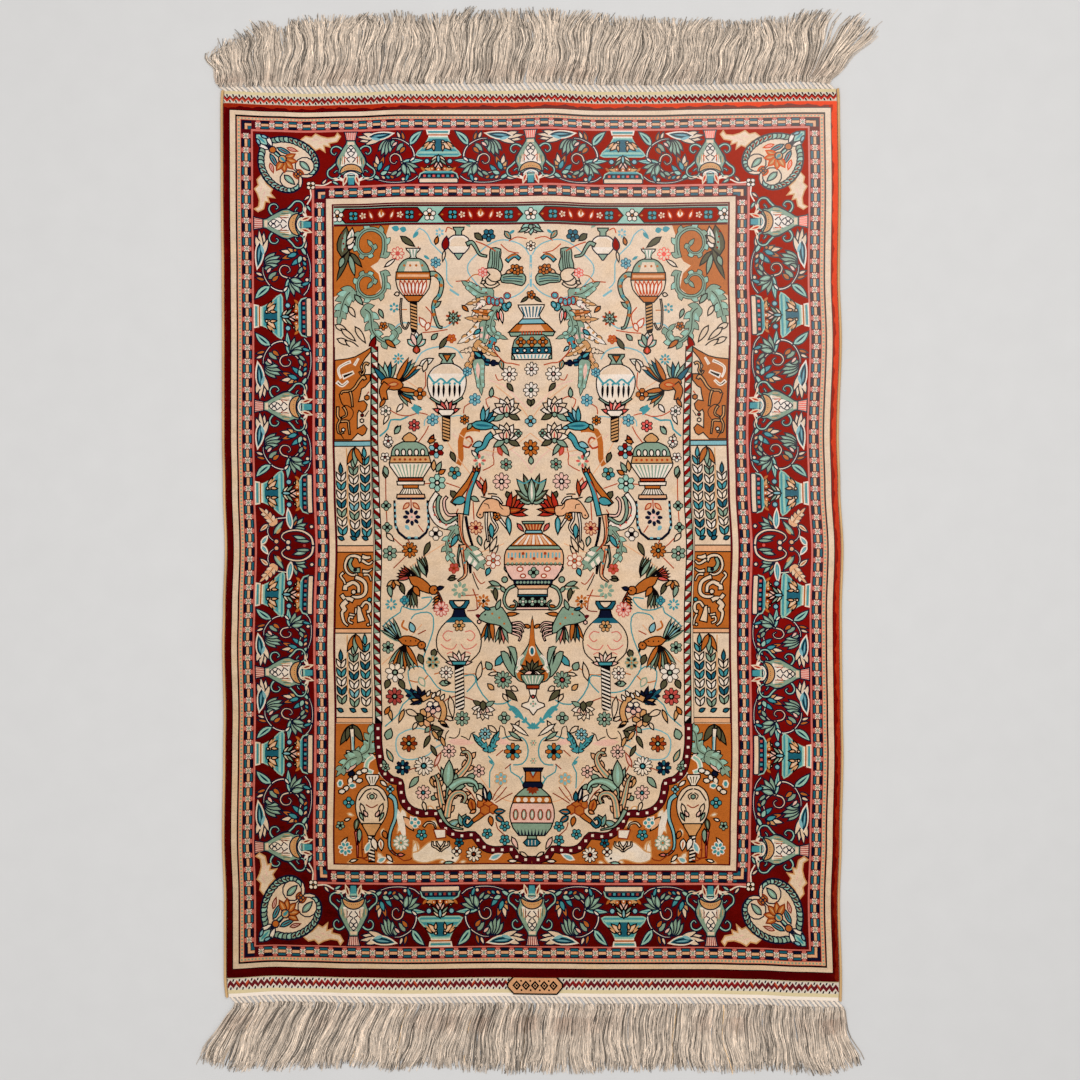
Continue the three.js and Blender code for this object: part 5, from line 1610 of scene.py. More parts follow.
def draw_winged_cat(chart):
    """A small orange creature with folded wings and a curling blue tail."""
    chart.stem(path(18, 16, 24, 22, 28, 18, 25, 13, 22, 15), 3.4, "teal", "ink", 2)
    chart.stem(path(6, 6, 12, 12, 19, 17), 6, "orange", "ink", 4)
    for x, y, radius in ((10, 0, 5.4), (4, 2, 5.4), (-1, 5, 5), (7, 6, 5.2)):
        chart.dot(x, y, radius, "orange", "rust")
    chart.leaf(6, -3, 9, -18, 5, "navy", core="pale")
    chart.leaf(3, -3, 3, -13, 4.6, "teal")
    chart.leaf(10, -3, 16, -10, 4.6, "pale")
    chart.leaf(-2, 8, -13, 7, 5.6, "teal", core="orange")
    chart.leaf(-4, 12, -12, 18, 5.6, "teal", core="orange")
    chart.leaf(2, 12, 0, 22, 5, "orange")
    chart.leaf(16, 6, 22, 9, 4, "orange", core="peach")
    for numbers in ((-2, -3, -8, -9, -14, -17), (0, -4, -3, -11, -9, -19), (-3, -1, -11, -6, -20, -11)):
        chart.stem(path(*numbers), 1.1, "rust")


def draw_duck(chart):
    """A white beast with small folded wings, its nose down to the right."""
    chart.leaf(22, 6, 21, -8, 5, "pale", "tan")
    chart.lay(smooth(path(23, 10, 24, 3, 19, 2, 14, -2, 8, -7, 0, -9, -9, -8, -14, -4, -17, 4, -23, 7, -19,
                          13, -12, 14, -6, 10, 0, 10, 6, 12, 14, 13), True, 2), "pale", "tan")
    chart.lay(path(3, -20, -9, -20, -9, -12, 0, -11), "pale", "rust")
    for side in (1, -1):
        for width, numbers in ((2.6, (0, 1, 4, -2, 8, -4, 8, -8)), (2.2, (0, -1, 3, -5, 4, -8))):
            points = path(*numbers)
            chart.stem(side * points.real - 4 + 1j * points.imag, width, "cream", "ink", 1.4)
    chart.dot(-16, 8.6, 1.3, "ink")
    chart.leaf(-7, 14, -17, 13, 3.4, "mint")
    chart.stem(path(13, -23, 9, -27, 3, -26, 1, -21), 2.4, "cream", "ink", 1.2)


def draw_small_birds(chart):
    """Two little birds and two peonies round the middle line."""
    chart.fan(2, 2, 16, -158, -92, 4, 5, ["turquoise", "teal", "sky"])
    chart.leaf(14, 4, -12, 6, 9, "turquoise", core="teal")
    chart.leaf(-8, 6, -15, 10, 4, "sky")
    chart.leaf(13, 3, 17, 9, 4, "sage")
    chart.stem(path(-8, 14, -3, 18, 1, 26, 8, 30, 8, 38), 6.4, "turquoise", "ink", 3)
    chart.leaf(2, 22, 12, 26, 6, "sky")
    chart.leaf(8, 36, 13, 30, 4, "pale")
    for down in (-14.5, 11.5):
        with chart.at(-22, down):
            draw_peony(chart)


def draw_hanging_peony(chart):
    """A smaller peony, upside down."""
    with chart.at(0, 0, turn=176, size=0.82):
        draw_peony(chart)
    chart.leaf(0, -12, 0, -2, 6, "moss")


def draw_peony(chart):
    """A large pale flower, seen half from the side."""
    chart.leaf(2, 8, 13, 15, 6, "sage")
    chart.leaf(-2, 8, -13, 14, 6, "moss")
    chart.fan(0, 5, 14, -178, -2, 7, 7.4, ["pale", "cream"])
    chart.fan(0, 6, 9, -150, -30, 4, 6, ["pale", "pink"])
    chart.leaf(0, 9, 0, -2, 6.4, "cream", core="coral")
    chart.dot(0, 9, 2.6, "sage", "ink")


def draw_middle(chart):
    """What stands on the middle line: four vases, a flask between them, and their flowers."""
    chart.fan(0, 122, 10, 18, 162, 5, 6, ["mint", "pale"])
    chart.dot(0, 124, 2.6, "sage", "ink")
    chart.flower(0, 192, 4.4, 5, "orange", "pale")
    for _ in chart.mirrored():
        chart.leaf(3, 194, 10, 199, 3, "moss")
        chart.leaf(2, 125, 12, 129, 3.6, "sage")
        chart.leaf(16, 127, 22, 131, 3, "turquoise", None)
        chart.stem(path(4, 136, 14, 134, 22, 138), 1.1, "rust")
    draw_first_vase(chart)
    draw_second_vase(chart)
    draw_flask(chart)
    draw_third_vase(chart)
    for _ in chart.mirrored():
        chart.leaf(0.5, 400, 13, 396, 5, "sage")
        chart.leaf(0.5, 398, 16, 387, 6, "moss", core="sage")
        chart.leaf(0.5, 395, 14.6, 376, 8, "sage")
        chart.leaf(0.5, 393, 8, 371, 6, "moss", core="sage")
        chart.stem(path(1, 376, 7, 380, 14, 377), 1.2, "turquoise")
    chart.leaf(0, 401, 0, 375, 8, "sage", core="pale")
    chart.leaf(0, 361, 0, 353, 5, "sage")
    for _ in chart.mirrored():
        chart.acanthus(path(0, 625, 8, 617, 18, 610, 25, 600), 3.4, "turquoise", None, None, 4, 0, 0.4, 1.2)
        chart.acanthus(path(44, 648, 50, 640, 58, 632), 3, "turquoise", "ink", None, 3)
        chart.acanthus(path(44, 648, 39, 640, 35, 630), 3, "turquoise", "ink", None, 3)
    for down in (639, 657):
        chart.flower(0, down, 3.6, 6, "sage", "coral", None)


def draw_first_vase(chart):
    """The uppermost vase, with a teal band of dots."""
    chart.vase(0, (202, 13, 204, 12.6, 212, 7.8, 216, 8.8), "pale")
    chart.stripes(0, 203.6, 214.4, 11.8, 7.4, 6, "teal", 0.45)
    chart.vase(0, (216, 9.4, 221, 14.4), "sky")
    chart.vase(0, (221, 15, 229, 23), "orange")
    chart.vase(0, (222, 9, 228, 13), "peach", None)
    chart.vase(0, (229, 23, 233, 21), "sage")
    chart.stripes(0, 228, 232, 11, 11, 8, "rust")
    chart.vase(0, (232, 12, 237, 17.4, 245, 19.6, 256, 20), "sage")
    for x in (-11, 0, 11):
        chart.flower(x, 239, 5, 4, "orange", "pale", "ink")
    chart.block(-19.4, 244.4, 19.4, 250.4, "teal", "ink")
    chart.row(0, 247.4, 18, 5, 1.8, "pale", "ink", 6)
    chart.vase(0, (250.6, 19.6, 254, 17, 256.4, 17), "pale")
    chart.stripes(0, 251.6, 255.4, 17, 15, 9, "turquoise", 0.4)


def draw_second_vase(chart):
    """The large banded vase with curled handles, on a dark foot."""
    for _ in chart.mirrored():
        chart.stem(path(18, 482, 25, 486, 28.5, 496, 25, 504, 18, 505, 15.6, 500, 18.6, 497), 2.8, "sage",
                   "ink",
                   1.6)
        chart.leaf(25, 466, 18, 478, 6, "sage")
        chart.dot(28.5, 476, 3, "sage", "ink", 8)
        chart.leaf(29, 462, 24, 470, 4.4, "sage")
    chart.vase(0, (418, 11, 420.4, 10.4), "sage")
    chart.vase(0, (420.4, 9.6, 427, 6.4), "rust")
    chart.stripes(0, 421, 426.6, 8.8, 6, 5, "tan", 0.4)
    chart.vase(0, (427, 8, 430, 8.6), "sky")
    chart.vase(0, (430, 8, 434, 15, 442.4, 24), "orange", soft=True)
    for k in range(9):
        place = (k - 4) / 4.6
        chart.lay(path(place * 10 - 1, 431.6, place * 20 - 2.2, 441, place * 20 + 0.6, 441,
                       place * 10 + 0.8, 431.6),
                  "peach" if k % 2 else "pale")
    chart.vase(0, (442.4, 24.4, 446, 27.4), "sage")
    chart.vase(0, (446, 27.6, 452, 29.4, 461, 29.4), "peach", soft=True)
    for k in range(5):
        place = (k - 2) * 11
        for leg in (-3.4, 0, 3.4):
            chart.block(place + leg - 0.9, 449, place + leg + 0.9, 454.6, "turquoise" if k % 2 else "sky")
        chart.dot(place, 450 if k % 2 else 455, 1.7, "rust")
    chart.vase(0, (461, 29, 468, 26.6, 476, 21, 478, 18.6), "pink", soft=True)
    chart.row(0, 460.6, 28, 13, 1.9, "moss", None, 6)
    chart.row(0, 459.6, 28, 13, 1.2, "sage", None, 6)
    chart.flower(0, 469, 5.4, 4, "sage", "ink")
    for _ in chart.mirrored():
        chart.oval(13.6, 465.6, 3, 2.2, "pale", "rust")
        chart.oval(10.4, 472.4, 2.6, 1.9, "pale", "rust")
    chart.vase(0, (476.4, 19.6, 481, 18.6), "navy")
    chart.row(0, 478.8, 17.5, 10, 1.5, "sage")
    chart.vase(0, (481.4, 17.4, 485.6, 14.6), "peach")
    chart.vase(0, (485.6, 14.6, 491, 14.6), "cream")
    chart.vase(0, (491, 14.8, 493, 14.8), "teal")
    chart.vase(0, (493, 14, 503.4, 14), "ink", None)
    for x in (-9.4, 0, 9.4):
        chart.flower(x, 498, 4.4, 4, "sage", "pale", None)
    chart.vase(0, (503.4, 16, 506, 17), "pink")


def draw_flask(chart):
    """A slender orange flask between feathered wings, on a lotus foot."""
    for _ in chart.mirrored():
        wing = smooth(path(12, 575, 20, 572, 28, 560, 31, 548, 24, 550, 20, 562, 23, 545, 25, 543, 17,
                           544, 15, 556,
                           17, 566), True, 2)
        chart.lay(wing, "sage", "ink")
        chart.stem(path(22, 547, 18, 558, 16, 568), 1.2, "ink")
    chart.lay(smooth(path(0, 512, 1.6, 528, 3, 540, 10, 551, 16.6, 562, 17.8, 570, 14, 577, 0, 580, -14, 577,
                          -17.8, 570, -16.6, 562, -10, 551, -3, 540, -1.6, 528), True, 2), "sage", "ink")
    chart.lay(smooth(path(0, 515, 2, 530, 3, 541, 6, 551, 11, 562, 16, 570, 12, 577, 0, 578, -12, 577, -16,
                          570, -11, 562, -6, 551, -3, 541, -2, 530), True, 2), "orange", None)
    for _ in chart.mirrored():
        chart.stem(path(9, 552, 13, 556, 14, 562), 1.4, "turquoise", "pale")
        chart.stem(path(12, 563, 15.6, 568), 1.4, "turquoise", "pale")
        chart.leaf(2, 524, 8, 521, 3.6, "orange")
    chart.oval(0, 547.4, 2.4, 4.4, "teal", "pale")
    chart.fan(0, 568, 9.4, -160, -20, 6, 4.4, ["sage", "sky"], None)
    chart.fan(0, 569, 13, -172, -8, 7, 4.2, "moss")
    chart.fan(0, 568, 9.6, 20, 160, 6, 4.4, ["pale", "pink"])
    chart.vase(0, (571, 11.4, 575, 11, 581, 6.6), "sage")
    chart.stripes(0, 572, 580, 10, 5.6, 5, "pale", 0.3)
    chart.vase(0, (581.4, 6.4, 585, 6), "rust")
    chart.vase(0, (585.4, 4, 592, 2.6, 598, 5, 600, 11, 602.6, 11.4, 606, 4, 611, 0.4), "pale")
    chart.dot(0, 593, 1.8, "coral", "ink")
    chart.flower(0, 600, 3.6, 4, "sage", "coral", None)


def draw_third_vase(chart):
    """The lowest vase, pink with sage drops."""
    for _ in chart.mirrored():
        chart.stem(path(8, 680, 12, 676, 10, 672), 1.2, "turquoise")
    chart.vase(0, (664, 9.8, 667.4, 8.4), "navy")
    chart.vase(0, (667.4, 7.6, 678, 7.6), "orange")
    chart.lay(path(-4, 668, 0, 675, 4, 668), "rust")
    chart.lay(path(-2, 668, 0, 672, 2, 668), "sky")
    chart.vase(0, (678, 8, 681, 10, 684, 9), "navy")
    chart.vase(0, (684, 8, 688, 13, 692.4, 17.4), "sage")
    chart.fan(0, 684, 7, 20, 160, 5, 3.6, "rust", None)
    chart.vase(0, (692.4, 17.4, 695, 18.6, 699, 19.6), "orange")
    chart.row(0, 695.8, 17.6, 5, 2.4, "pale", None, 8)
    chart.vase(0, (699, 19.6, 705, 21.6, 714, 22, 722, 19.6), "pink", soft=True)
    for k in range(5):
        chart.oval((k - 2) * 8.2, 710.6, 2.4, 5.2, "sage", "rust", corners=8)
        chart.oval((k - 2) * 8.2, 710.6, 0.9, 3.4, "pale", None, corners=6)
    chart.vase(0, (719, 20.6, 724, 18.8, 731.4, 13), "sage")
    for k in range(9):
        chart.lay(path((k - 4) * 3.2 - 1.2, 731, (k - 4) * 3.6, 724.6, (k - 4) * 3.2 + 1.2, 731), "navy")
    chart.vase(0, (731.6, 4.4, 735, 4.6), "sage")
    chart.vase(0, (735, 5, 738.6, 8.4, 742, 5), "teal")
    chart.stripes(0, 736, 741, 5, 5, 3, "pale", 0.2)


def within_field(points):
    """The points, moved in to the field's edge where they lie outside it."""
    return np.clip(points.real, -FIELD_HALF, FIELD_HALF) + 1j * np.clip(points.imag, PANEL_BAND_TOP,
            FIELD_BOTTOM)


def rug_chart():
    """The whole design."""
    chart = Chart()
    draw_bands(chart)
    draw_dotted_line(chart)
    draw_guard(chart, BANDS["outer guard"][0], BANDS["outer rose line"][0])
    draw_guard(chart, BANDS["inner guard"][0], BANDS["maroon line"][0])
    draw_main_border(chart)
    with chart.carried(within_field):
        draw_field(chart)
        draw_cartouche_band(chart)
    return chart


# Building the meshes

EDGE_STEP = 9.0
GRID_STEP = 12.0
INSIDE = 0.3
NEARNESS = 0.01
STRAIGHT = 0.05
WEB_CREASE = 25
BINDING_CREASE = 60
FRINGE_CREASE = 80
MM_PER_KNOT = PILE_LENGTH / KNOTS_DOWN
WEB_TOP = -TOP_KILIM / MM_PER_KNOT
WEB_BOTTOM = (PILE_LENGTH + BOTTOM_KILIM) / MM_PER_KNOT
DYE_NAMES = list(DYES)
FRONT_MAP_SHARE = 0.66
BACK_MAP_START = 0.68
FIELD_SEAM = (108.4, 99.8, 113.3)
PATCH_BOX = (869.0, 893.0)
BACK_SMALLEST = 34.0
ZIGZAG_PITCH = 6.1
TOP_KILIM_ROWS = (("plain", 0.0, 0.6, "peach"), ("zigzag", 0.6, 9.4, "scarlet"),
                  ("plain", 9.4, 13.0, "straw"))
BOTTOM_KILIM_ROWS = (
    ("plain", 0.0, 1.2, "straw"), ("zigzag", 1.2, 12.4, "maroon"), ("plain", 12.4, 16.0, "straw"),
    ("plain", 16.0, 20.0, "pale"),
)
LOCKS = 122
TUFT = 4
CURLS = 5
WRAP_STEPS = 7
CORD_SHARE = 0.115
CORD_SLANT = 7.2
CORD_TURNS = 1.6
CORD_STEPS = 8
BUNDLE = 4
THREAD_STEPS = 9
STRAY_SHARE = 0.05
SHADED_SHARE = 0.24
SHADED_TONE = 0.24
CORD_TONE = 1.1
STRAY_REACH = 8
BROWN_LENGTH = 0.15
BROWN_LOSS = (0.42, 0.52, 0.56)
FRINGE_LOOKS = {
    "top": {"tuft lean": 4.6, "drift": 5.0, "spread": 4.4, "wave": 1.0, "hook": 2.4, "brown at": 0.2,
            "brown": 0.5, "golden": 0.0},
    "bottom": {"tuft lean": 2.4, "drift": 2.6, "spread": 3.2, "wave": 0.8, "hook": 1.4, "brown at": 0.36,
               "brown": 0.9, "golden": 0.006},
}

# The stage, in metres; the camera stands over a point a little off the rug's own middle
FLOOR_SIZE = 4.0
LIGHTS = (((0.5, 0.6, 2.2), 1.6, 26.0), ((-0.9, -0.5, 2.4), 1.8, 16.0))
ROOM_LIGHT = 0.55
PIXEL = 0.00103
CAMERA_FROM_MIDDLE = 8 * PIXEL
CAMERA_BELOW_TOP = 437 * PIXEL
CAMERA_LENS = 85.0
CAMERA_SENSOR = 36.0
CAMERA_HEIGHT = 1080 * PIXEL * CAMERA_LENS / CAMERA_SENSOR


def divided(outline, step):
    """The closed outline with points added, so that none of its sides is longer than the step."""
    ahead = np.roll(outline, -1) - outline
    counts = np.maximum(np.ceil(abs(ahead) / step).astype(int), 1)
    share = np.concatenate([np.arange(count) / count for count in counts])
    return np.repeat(outline, counts) + np.repeat(ahead, counts) * share


def triangulated(points, edges):
    """Triangles over all the points, with the edges kept, and the points with their crossings."""
    flat = [Vector((point.real, point.imag)) for point in points]
    found = delaunay_2d_cdt(flat, edges.tolist(), [], 0, NEARNESS)
    corners = np.array([complex(corner.x, corner.y) for corner in found[0]])
    return corners, np.array(found[2])


def shown_dyes(points, chart):
    """The number of the dye that each point shows: that of the last outline round it."""
    order = np.argsort(points.imag)
    x, y = points.real[order], points.imag[order]
    shown = np.full(len(points), -1)
    for outline, dye in zip(chart.outlines, chart.dyes):
        low, high = np.searchsorted(y, (outline.imag.min(), outline.imag.max()))
        reach = (x[low:high] > outline.real.min()) & (x[low:high] < outline.real.max())
        near = low + np.flatnonzero(reach)
        if len(near) == 0:
            continue
        start, end = outline, np.roll(outline, -1)
        px, py = x[near, None], y[near, None]
        side = (end.real - start.real) * (py - start.imag) - (px - start.real) * (end.imag - start.imag)
        rising = (start.imag <= py) & (end.imag > py) & (side > 0)
        falling = (start.imag > py) & (end.imag <= py) & (side < 0)
        shown[near[rising.sum(axis=1) != falling.sum(axis=1)]] = DYE_NAMES.index(dye)
    result = np.empty(len(points), int)
    result[order] = shown
    return result


def sides_of(triangles):
    """Each side of each triangle, in turn, and the triangle beyond it, or -1."""
    edges = triangles[:, [0, 1, 1, 2, 2, 0]].reshape(-1, 2)
    size = triangles.max() + 1
    forward = edges[:, 0] * size + edges[:, 1]
    backward = edges[:, 1] * size + edges[:, 0]
    order = np.argsort(forward)
    place = np.minimum(np.searchsorted(forward, backward, sorter=order), len(forward) - 1)
    beyond = order[place]
    return edges, np.where(forward[beyond] == backward, beyond // 3, -1)


def straightened(points, edges):
    """The edges without the points that only divide a straight run into short pieces."""
    joined = {}
    for start, end in edges.tolist():
        joined.setdefault(start, set()).add(end)
        joined.setdefault(end, set()).add(start)
    for middle in list(joined):
        if len(joined[middle]) != 2:
            continue
        start, end = joined[middle]
        along = points[end] - points[start]
        off = abs((along.conjugate() * (points[middle] - points[start])).imag)
        if end in joined[start] or abs(along) > EDGE_STEP or off > STRAIGHT * abs(along):
            continue
        joined[start].discard(middle)
        joined[end].discard(middle)
        joined[start].add(end)
        joined[end].add(start)
        del joined[middle]
    kept = {(min(start, end), max(start, end)) for start in joined for end in joined[start]}
    return np.array(sorted(kept))


def patchwork(chart, top, bottom, inner=None):
    """The chart as triangles of one dye each: corners, triangles, dyes, and whether in the inner box."""
    outer = path(-HALF, top, HALF, top, HALF, bottom, -HALF, bottom)
    loops = [divided(outer, EDGE_STEP)]
    if inner is not None:
        loops.append(divided(inner, EDGE_STEP))
    for outline in chart.outlines:
        inside = np.clip(outline.real, -HALF + INSIDE, HALF - INSIDE) + 1j * np.clip(
            outline.imag, top + INSIDE, bottom - INSIDE
        )
        loops.append(divided(inside, EDGE_STEP))
    starts = np.cumsum([0] + [len(loop) for loop in loops])
    edges = [
        np.stack([np.arange(len(loop)), np.roll(np.arange(len(loop)), -1)], axis=1) + start
        for start, loop in zip(starts, loops)
    ]
    corners, triangles = triangulated(np.concatenate(loops), np.concatenate(edges))

    def kinds(corners, triangles):
        middles = corners[triangles].mean(axis=1)
        shown = shown_dyes(middles, chart)
        within = np.zeros(len(middles), bool)
        if inner is not None:
            within = (abs(middles.real) < inner.real.max()) & (middles.imag > inner.imag.min())
            within &= middles.imag < inner.imag.max()
        return shown, within

    shown, within = kinds(corners, triangles)
    kind = shown + len(DYE_NAMES) * within
    edges, beyond = sides_of(triangles)
    own = np.repeat(np.arange(len(triangles)), 3)
    differ = (beyond < 0) | ((kind[own] != kind[beyond]) & (own < beyond))
    kept = straightened(corners, edges[differ])
    used, kept = np.unique(kept, return_inverse=True)
    grid_x, grid_y = np.meshgrid(
        np.arange(-HALF + GRID_STEP / 2, HALF, GRID_STEP), np.arange(top + GRID_STEP / 2, bottom, GRID_STEP)
    )
    points = np.concatenate([corners[used], (grid_x + 1j * grid_y).ravel()])
    corners, triangles = triangulated(points, kept.reshape(-1, 2))
    return corners, triangles, *kinds(corners, triangles)


def laid(corners, height):
    """Places in metres of chart corners on the rug's surface that lies so high over its underside."""
    across = 0.5 + corners.real / KNOTS_ACROSS
    down = corners.imag * MM_PER_KNOT
    x, y = on_floor(across, down)
    return np.stack([x, y, lift(across, down) + height], axis=1) * MM


def linear(colour):
    """The red, green, blue and alpha that Blender needs for a dye given from 0 to 255."""
    share = np.array(colour, float) / 255
    light = np.where(share > 0.04045, ((share + 0.055) / 1.055) ** 2.4, share / 12.92)
    return np.append(light, 1.0)


def add_mesh(name, places, triangles, colours, material, smooth_angle):
    """An object of triangles, each with its colour, mapped flat from above and from below."""
    keys, index = np.unique(np.round(places * 1e7).astype(np.int64), axis=0, return_inverse=True)
    triangles = index.reshape(-1)[triangles]
    mesh = bpy.data.meshes.new(name)
    mesh.from_pydata((keys / 1e7).tolist(), [], triangles.tolist())
    dye = mesh.attributes.new("dye", "FLOAT_COLOR", "FACE")
    dye.data.foreach_set("color", colours.astype(np.float32).ravel())
    corners = (keys / 1e7)[triangles]
    low, high = corners.reshape(-1, 3).min(axis=0), corners.reshape(-1, 3).max(axis=0)
    flat = (corners[:, :, :2] - low[:2]) / (high[:2] - low[:2])
    facing = np.cross(corners[:, 1] - corners[:, 0], corners[:, 2] - corners[:, 0])[:, 2]
    under = (facing < 0)[:, None]
    flat[:, :, 0] = np.where(under, BACK_MAP_START + flat[:, :, 0] * (1 - BACK_MAP_START),
                             flat[:, :, 0] * FRONT_MAP_SHARE)
    mesh.uv_layers.new(name="OFBake").data.foreach_set("uv", flat.astype(np.float32).ravel())
    piece = bpy.data.objects.new(name, mesh)
    bpy.context.collection.objects.link(piece)
    mesh.materials.append(material)
    bpy.ops.object.select_all(action="DESELECT")
    piece.select_set(True)
    bpy.context.view_layer.objects.active = piece
    bpy.ops.object.shade_smooth_by_angle(angle=math.radians(smooth_angle))
    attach(piece, "root")
    return piece


def sheet_between(name, upper, lower, high, low, keep, material, colours):
    """A closed sheet between two heights, its two faces made of the patches of two charts."""
    places, faces, shades, count = [], [], [], 0
    for patches, height, way in ((upper, high, -1), (lower, low, 1)):
        corners, triangles, shown, within = patches
        chosen = keep(shown, within)
        places.append(laid(corners, height))
        faces.append(triangles[chosen][:, ::way] + count)
        shades.append(colours[shown[chosen]])
        count += len(corners)
    edges, beyond = sides_of(faces[0])
    rim = beyond < 0
    corners = upper[0]
    places.append(laid(corners, low))
    start, end = edges[rim].T
    faces.append(np.stack([end, start, start + count], axis=1))
    faces.append(np.stack([end, start + count, end + count], axis=1))
    shades += [shades[0][np.flatnonzero(rim) // 3]] * 2
    return add_mesh(
        name, np.concatenate(places), np.concatenate(faces), np.concatenate(shades), material, WEB_CREASE
    )


def tubes(paths, half_width, half_height, sides, reference, turn=0.0):
    """Closed tubes along paths of the same number of steps: places, and triangles of each tube."""
    count, steps, _ = paths.shape
    ahead = np.gradient(paths, axis=1)
    across = np.cross(ahead, reference)
    across /= np.linalg.norm(across, axis=2, keepdims=True)
    rise = np.cross(across, ahead)
    rise /= np.linalg.norm(rise, axis=2, keepdims=True)
    angle = (np.arange(sides) / sides + turn) * 2 * np.pi
    places = (
        paths[:, :, None, :]
        + (across * half_width[..., None])[:, :, None, :] * np.cos(angle)[:, None]
        + (rise * half_height[..., None])[:, :, None, :] * np.sin(angle)[:, None]
    )
    ring = np.arange(sides)
    after = (ring + 1) % sides
    run = (np.arange(steps - 1) * sides)[:, None]
    near, next_near = (run + ring).ravel(), (run + after).ravel()
    far, next_far = near + sides, next_near + sides
    last = (steps - 1) * sides
    fan = np.arange(1, sides - 1)
    one = np.concatenate([
        np.stack([near, next_near, far], axis=1),
        np.stack([next_near, next_far, far], axis=1),
        np.stack([fan * 0, fan + 1, fan], axis=1),
        np.stack([fan * 0 + last, fan + last, fan + 1 + last], axis=1),
    ])
    all_tubes = one[None, :, :] + (np.arange(count) * steps * sides)[:, None, None]
    return places.reshape(-1, 3), all_tubes


# What is made: the charts of the flat-woven ends, of the back and of the small patch


def draw_kilim(chart, rows):
    """A flat-woven end: plain bars, and a zigzag between white teeth, going away from the pile."""
    for kind, start, end, dye in rows:
        chart.block(-HALF, start, HALF, end, "chalk" if kind == "zigzag" else dye)
        if kind != "zigzag":
            continue
        middle, swing, bold = (start + end) / 2, (end - start) * 0.17, (end - start) * 0.21
        count = int(KNOTS_ACROSS / ZIGZAG_PITCH * 2)
        ridge = np.linspace(-HALF, HALF, count + 1) + 1j * (middle + swing * (-1.0) ** np.arange(count + 1))
        for k in range(count):
            thick = bold * (1 + 0.2 * math.sin(k * 2.4))
            piece = path(ridge[k].real, ridge[k].imag - thick, ridge[k + 1].real, ridge[k + 1].imag - thick,
                         ridge[k + 1].real, ridge[k + 1].imag + thick, ridge[k].real, ridge[k].imag + thick)
            run = math.sin(k * 0.11) + 0.6 * math.sin(k * 0.37)
            chart.lay(piece, "crimson" if run < -0.5 else dye if (k * 7) % 11 < 9 else "rust")
            lower = piece[[3, 2]] - 0.9j * thick
            chart.lay(np.concatenate([lower, piece[[2, 3]]]), "wine")
            away = -1 if k % 2 else 1
            tooth = ridge[k].real + 1j * (start + 1.7 if away > 0 else end - 1.3)
            chart.lay(tooth + path(-0.4, -1.3, 1.2, -1.3, 0.3, 1.3, -1.2, 1.3),
                      "navy" if k % 5 == 1 else "ink")


def web_chart():
    """The web with its flat-woven ends."""
    chart = Chart()
    chart.block(-HALF, WEB_TOP, HALF, WEB_BOTTOM, "pale")
    for rows, start, way in ((TOP_KILIM_ROWS, 0, -1), (BOTTOM_KILIM_ROWS, KNOTS_DOWN, 1)):
        with chart.carried(lambda points, start=start,
                           way=way: points.real + 1j * (start + way * points.imag)):
            draw_kilim(chart, rows)
    return chart


def back_chart(front):
    """The larger shapes of the design, as they show in the knots' backs."""
    chart = Chart()
    chart.block(-HALF, WEB_TOP, HALF, WEB_BOTTOM, "pale")
    for outline, dye in zip(front.outlines, front.dyes):
        ahead = np.roll(outline, -1)
        area = abs(np.sum(outline.real * ahead.imag - outline.imag * ahead.real)) / 2
        if area > BACK_SMALLEST and dye != "ink":
            chart.lay(outline, dye)
    return chart


def patch_chart(ornament):
    """The small patch on the lower flat-woven end, bare or with its row of diamonds."""
    chart = Chart()
    half_width, half_height = PATCH_WIDTH / MM_PER_KNOT / 2, PATCH_HEIGHT / MM_PER_KNOT / 2
    corner = PATCH_CORNER / MM_PER_KNOT
    with chart.at(PATCH_FROM_CENTRE / MM_PER_KNOT, PATCH_DOWN / MM_PER_KNOT):
        rim = path(
            -half_width + corner, -half_height, half_width - corner, -half_height, half_width, -corner / 3,
            half_width, corner / 3, half_width - corner, half_height, -half_width + corner, half_height,
            -half_width, corner / 3, -half_width, -corner / 3,
        )
        chart.lay(rim, "ink")
        if ornament:
            chart.lay(grown(rim, -1.5), "peach")
            for k in range(5):
                x = (k - 2) * 9.2
                chart.lay(path(x - 4.4, 0, x, -5, x + 4.4, 0, x, 5), "ink")
                chart.lay(path(x - 2.2, 0, x, -2.6, x + 2.2, 0, x, 2.6), "peach")
                chart.block(x - 0.9, -1.1, x + 0.9, 1.1, "ink")
            for k in range(4):
                x = (k - 1.5) * 9.2
                chart.dot(x, -4.6, 1.1, "ink")
                chart.dot(x, 4.6, 1.1, "ink")
    return chart


def rug_edge(down, side, out):
    """A place in metres so far out from the cloth's side edge, at each of an array of places down."""
    x = edge_at(down, side) + CLOTH_SHIFT_X + side * out
    y = on_floor(0.0 if side < 0 else 1.0, down)[1]
    return x * MM, y * MM, lift(0.0 if side < 0 else 1.0, down) * MM


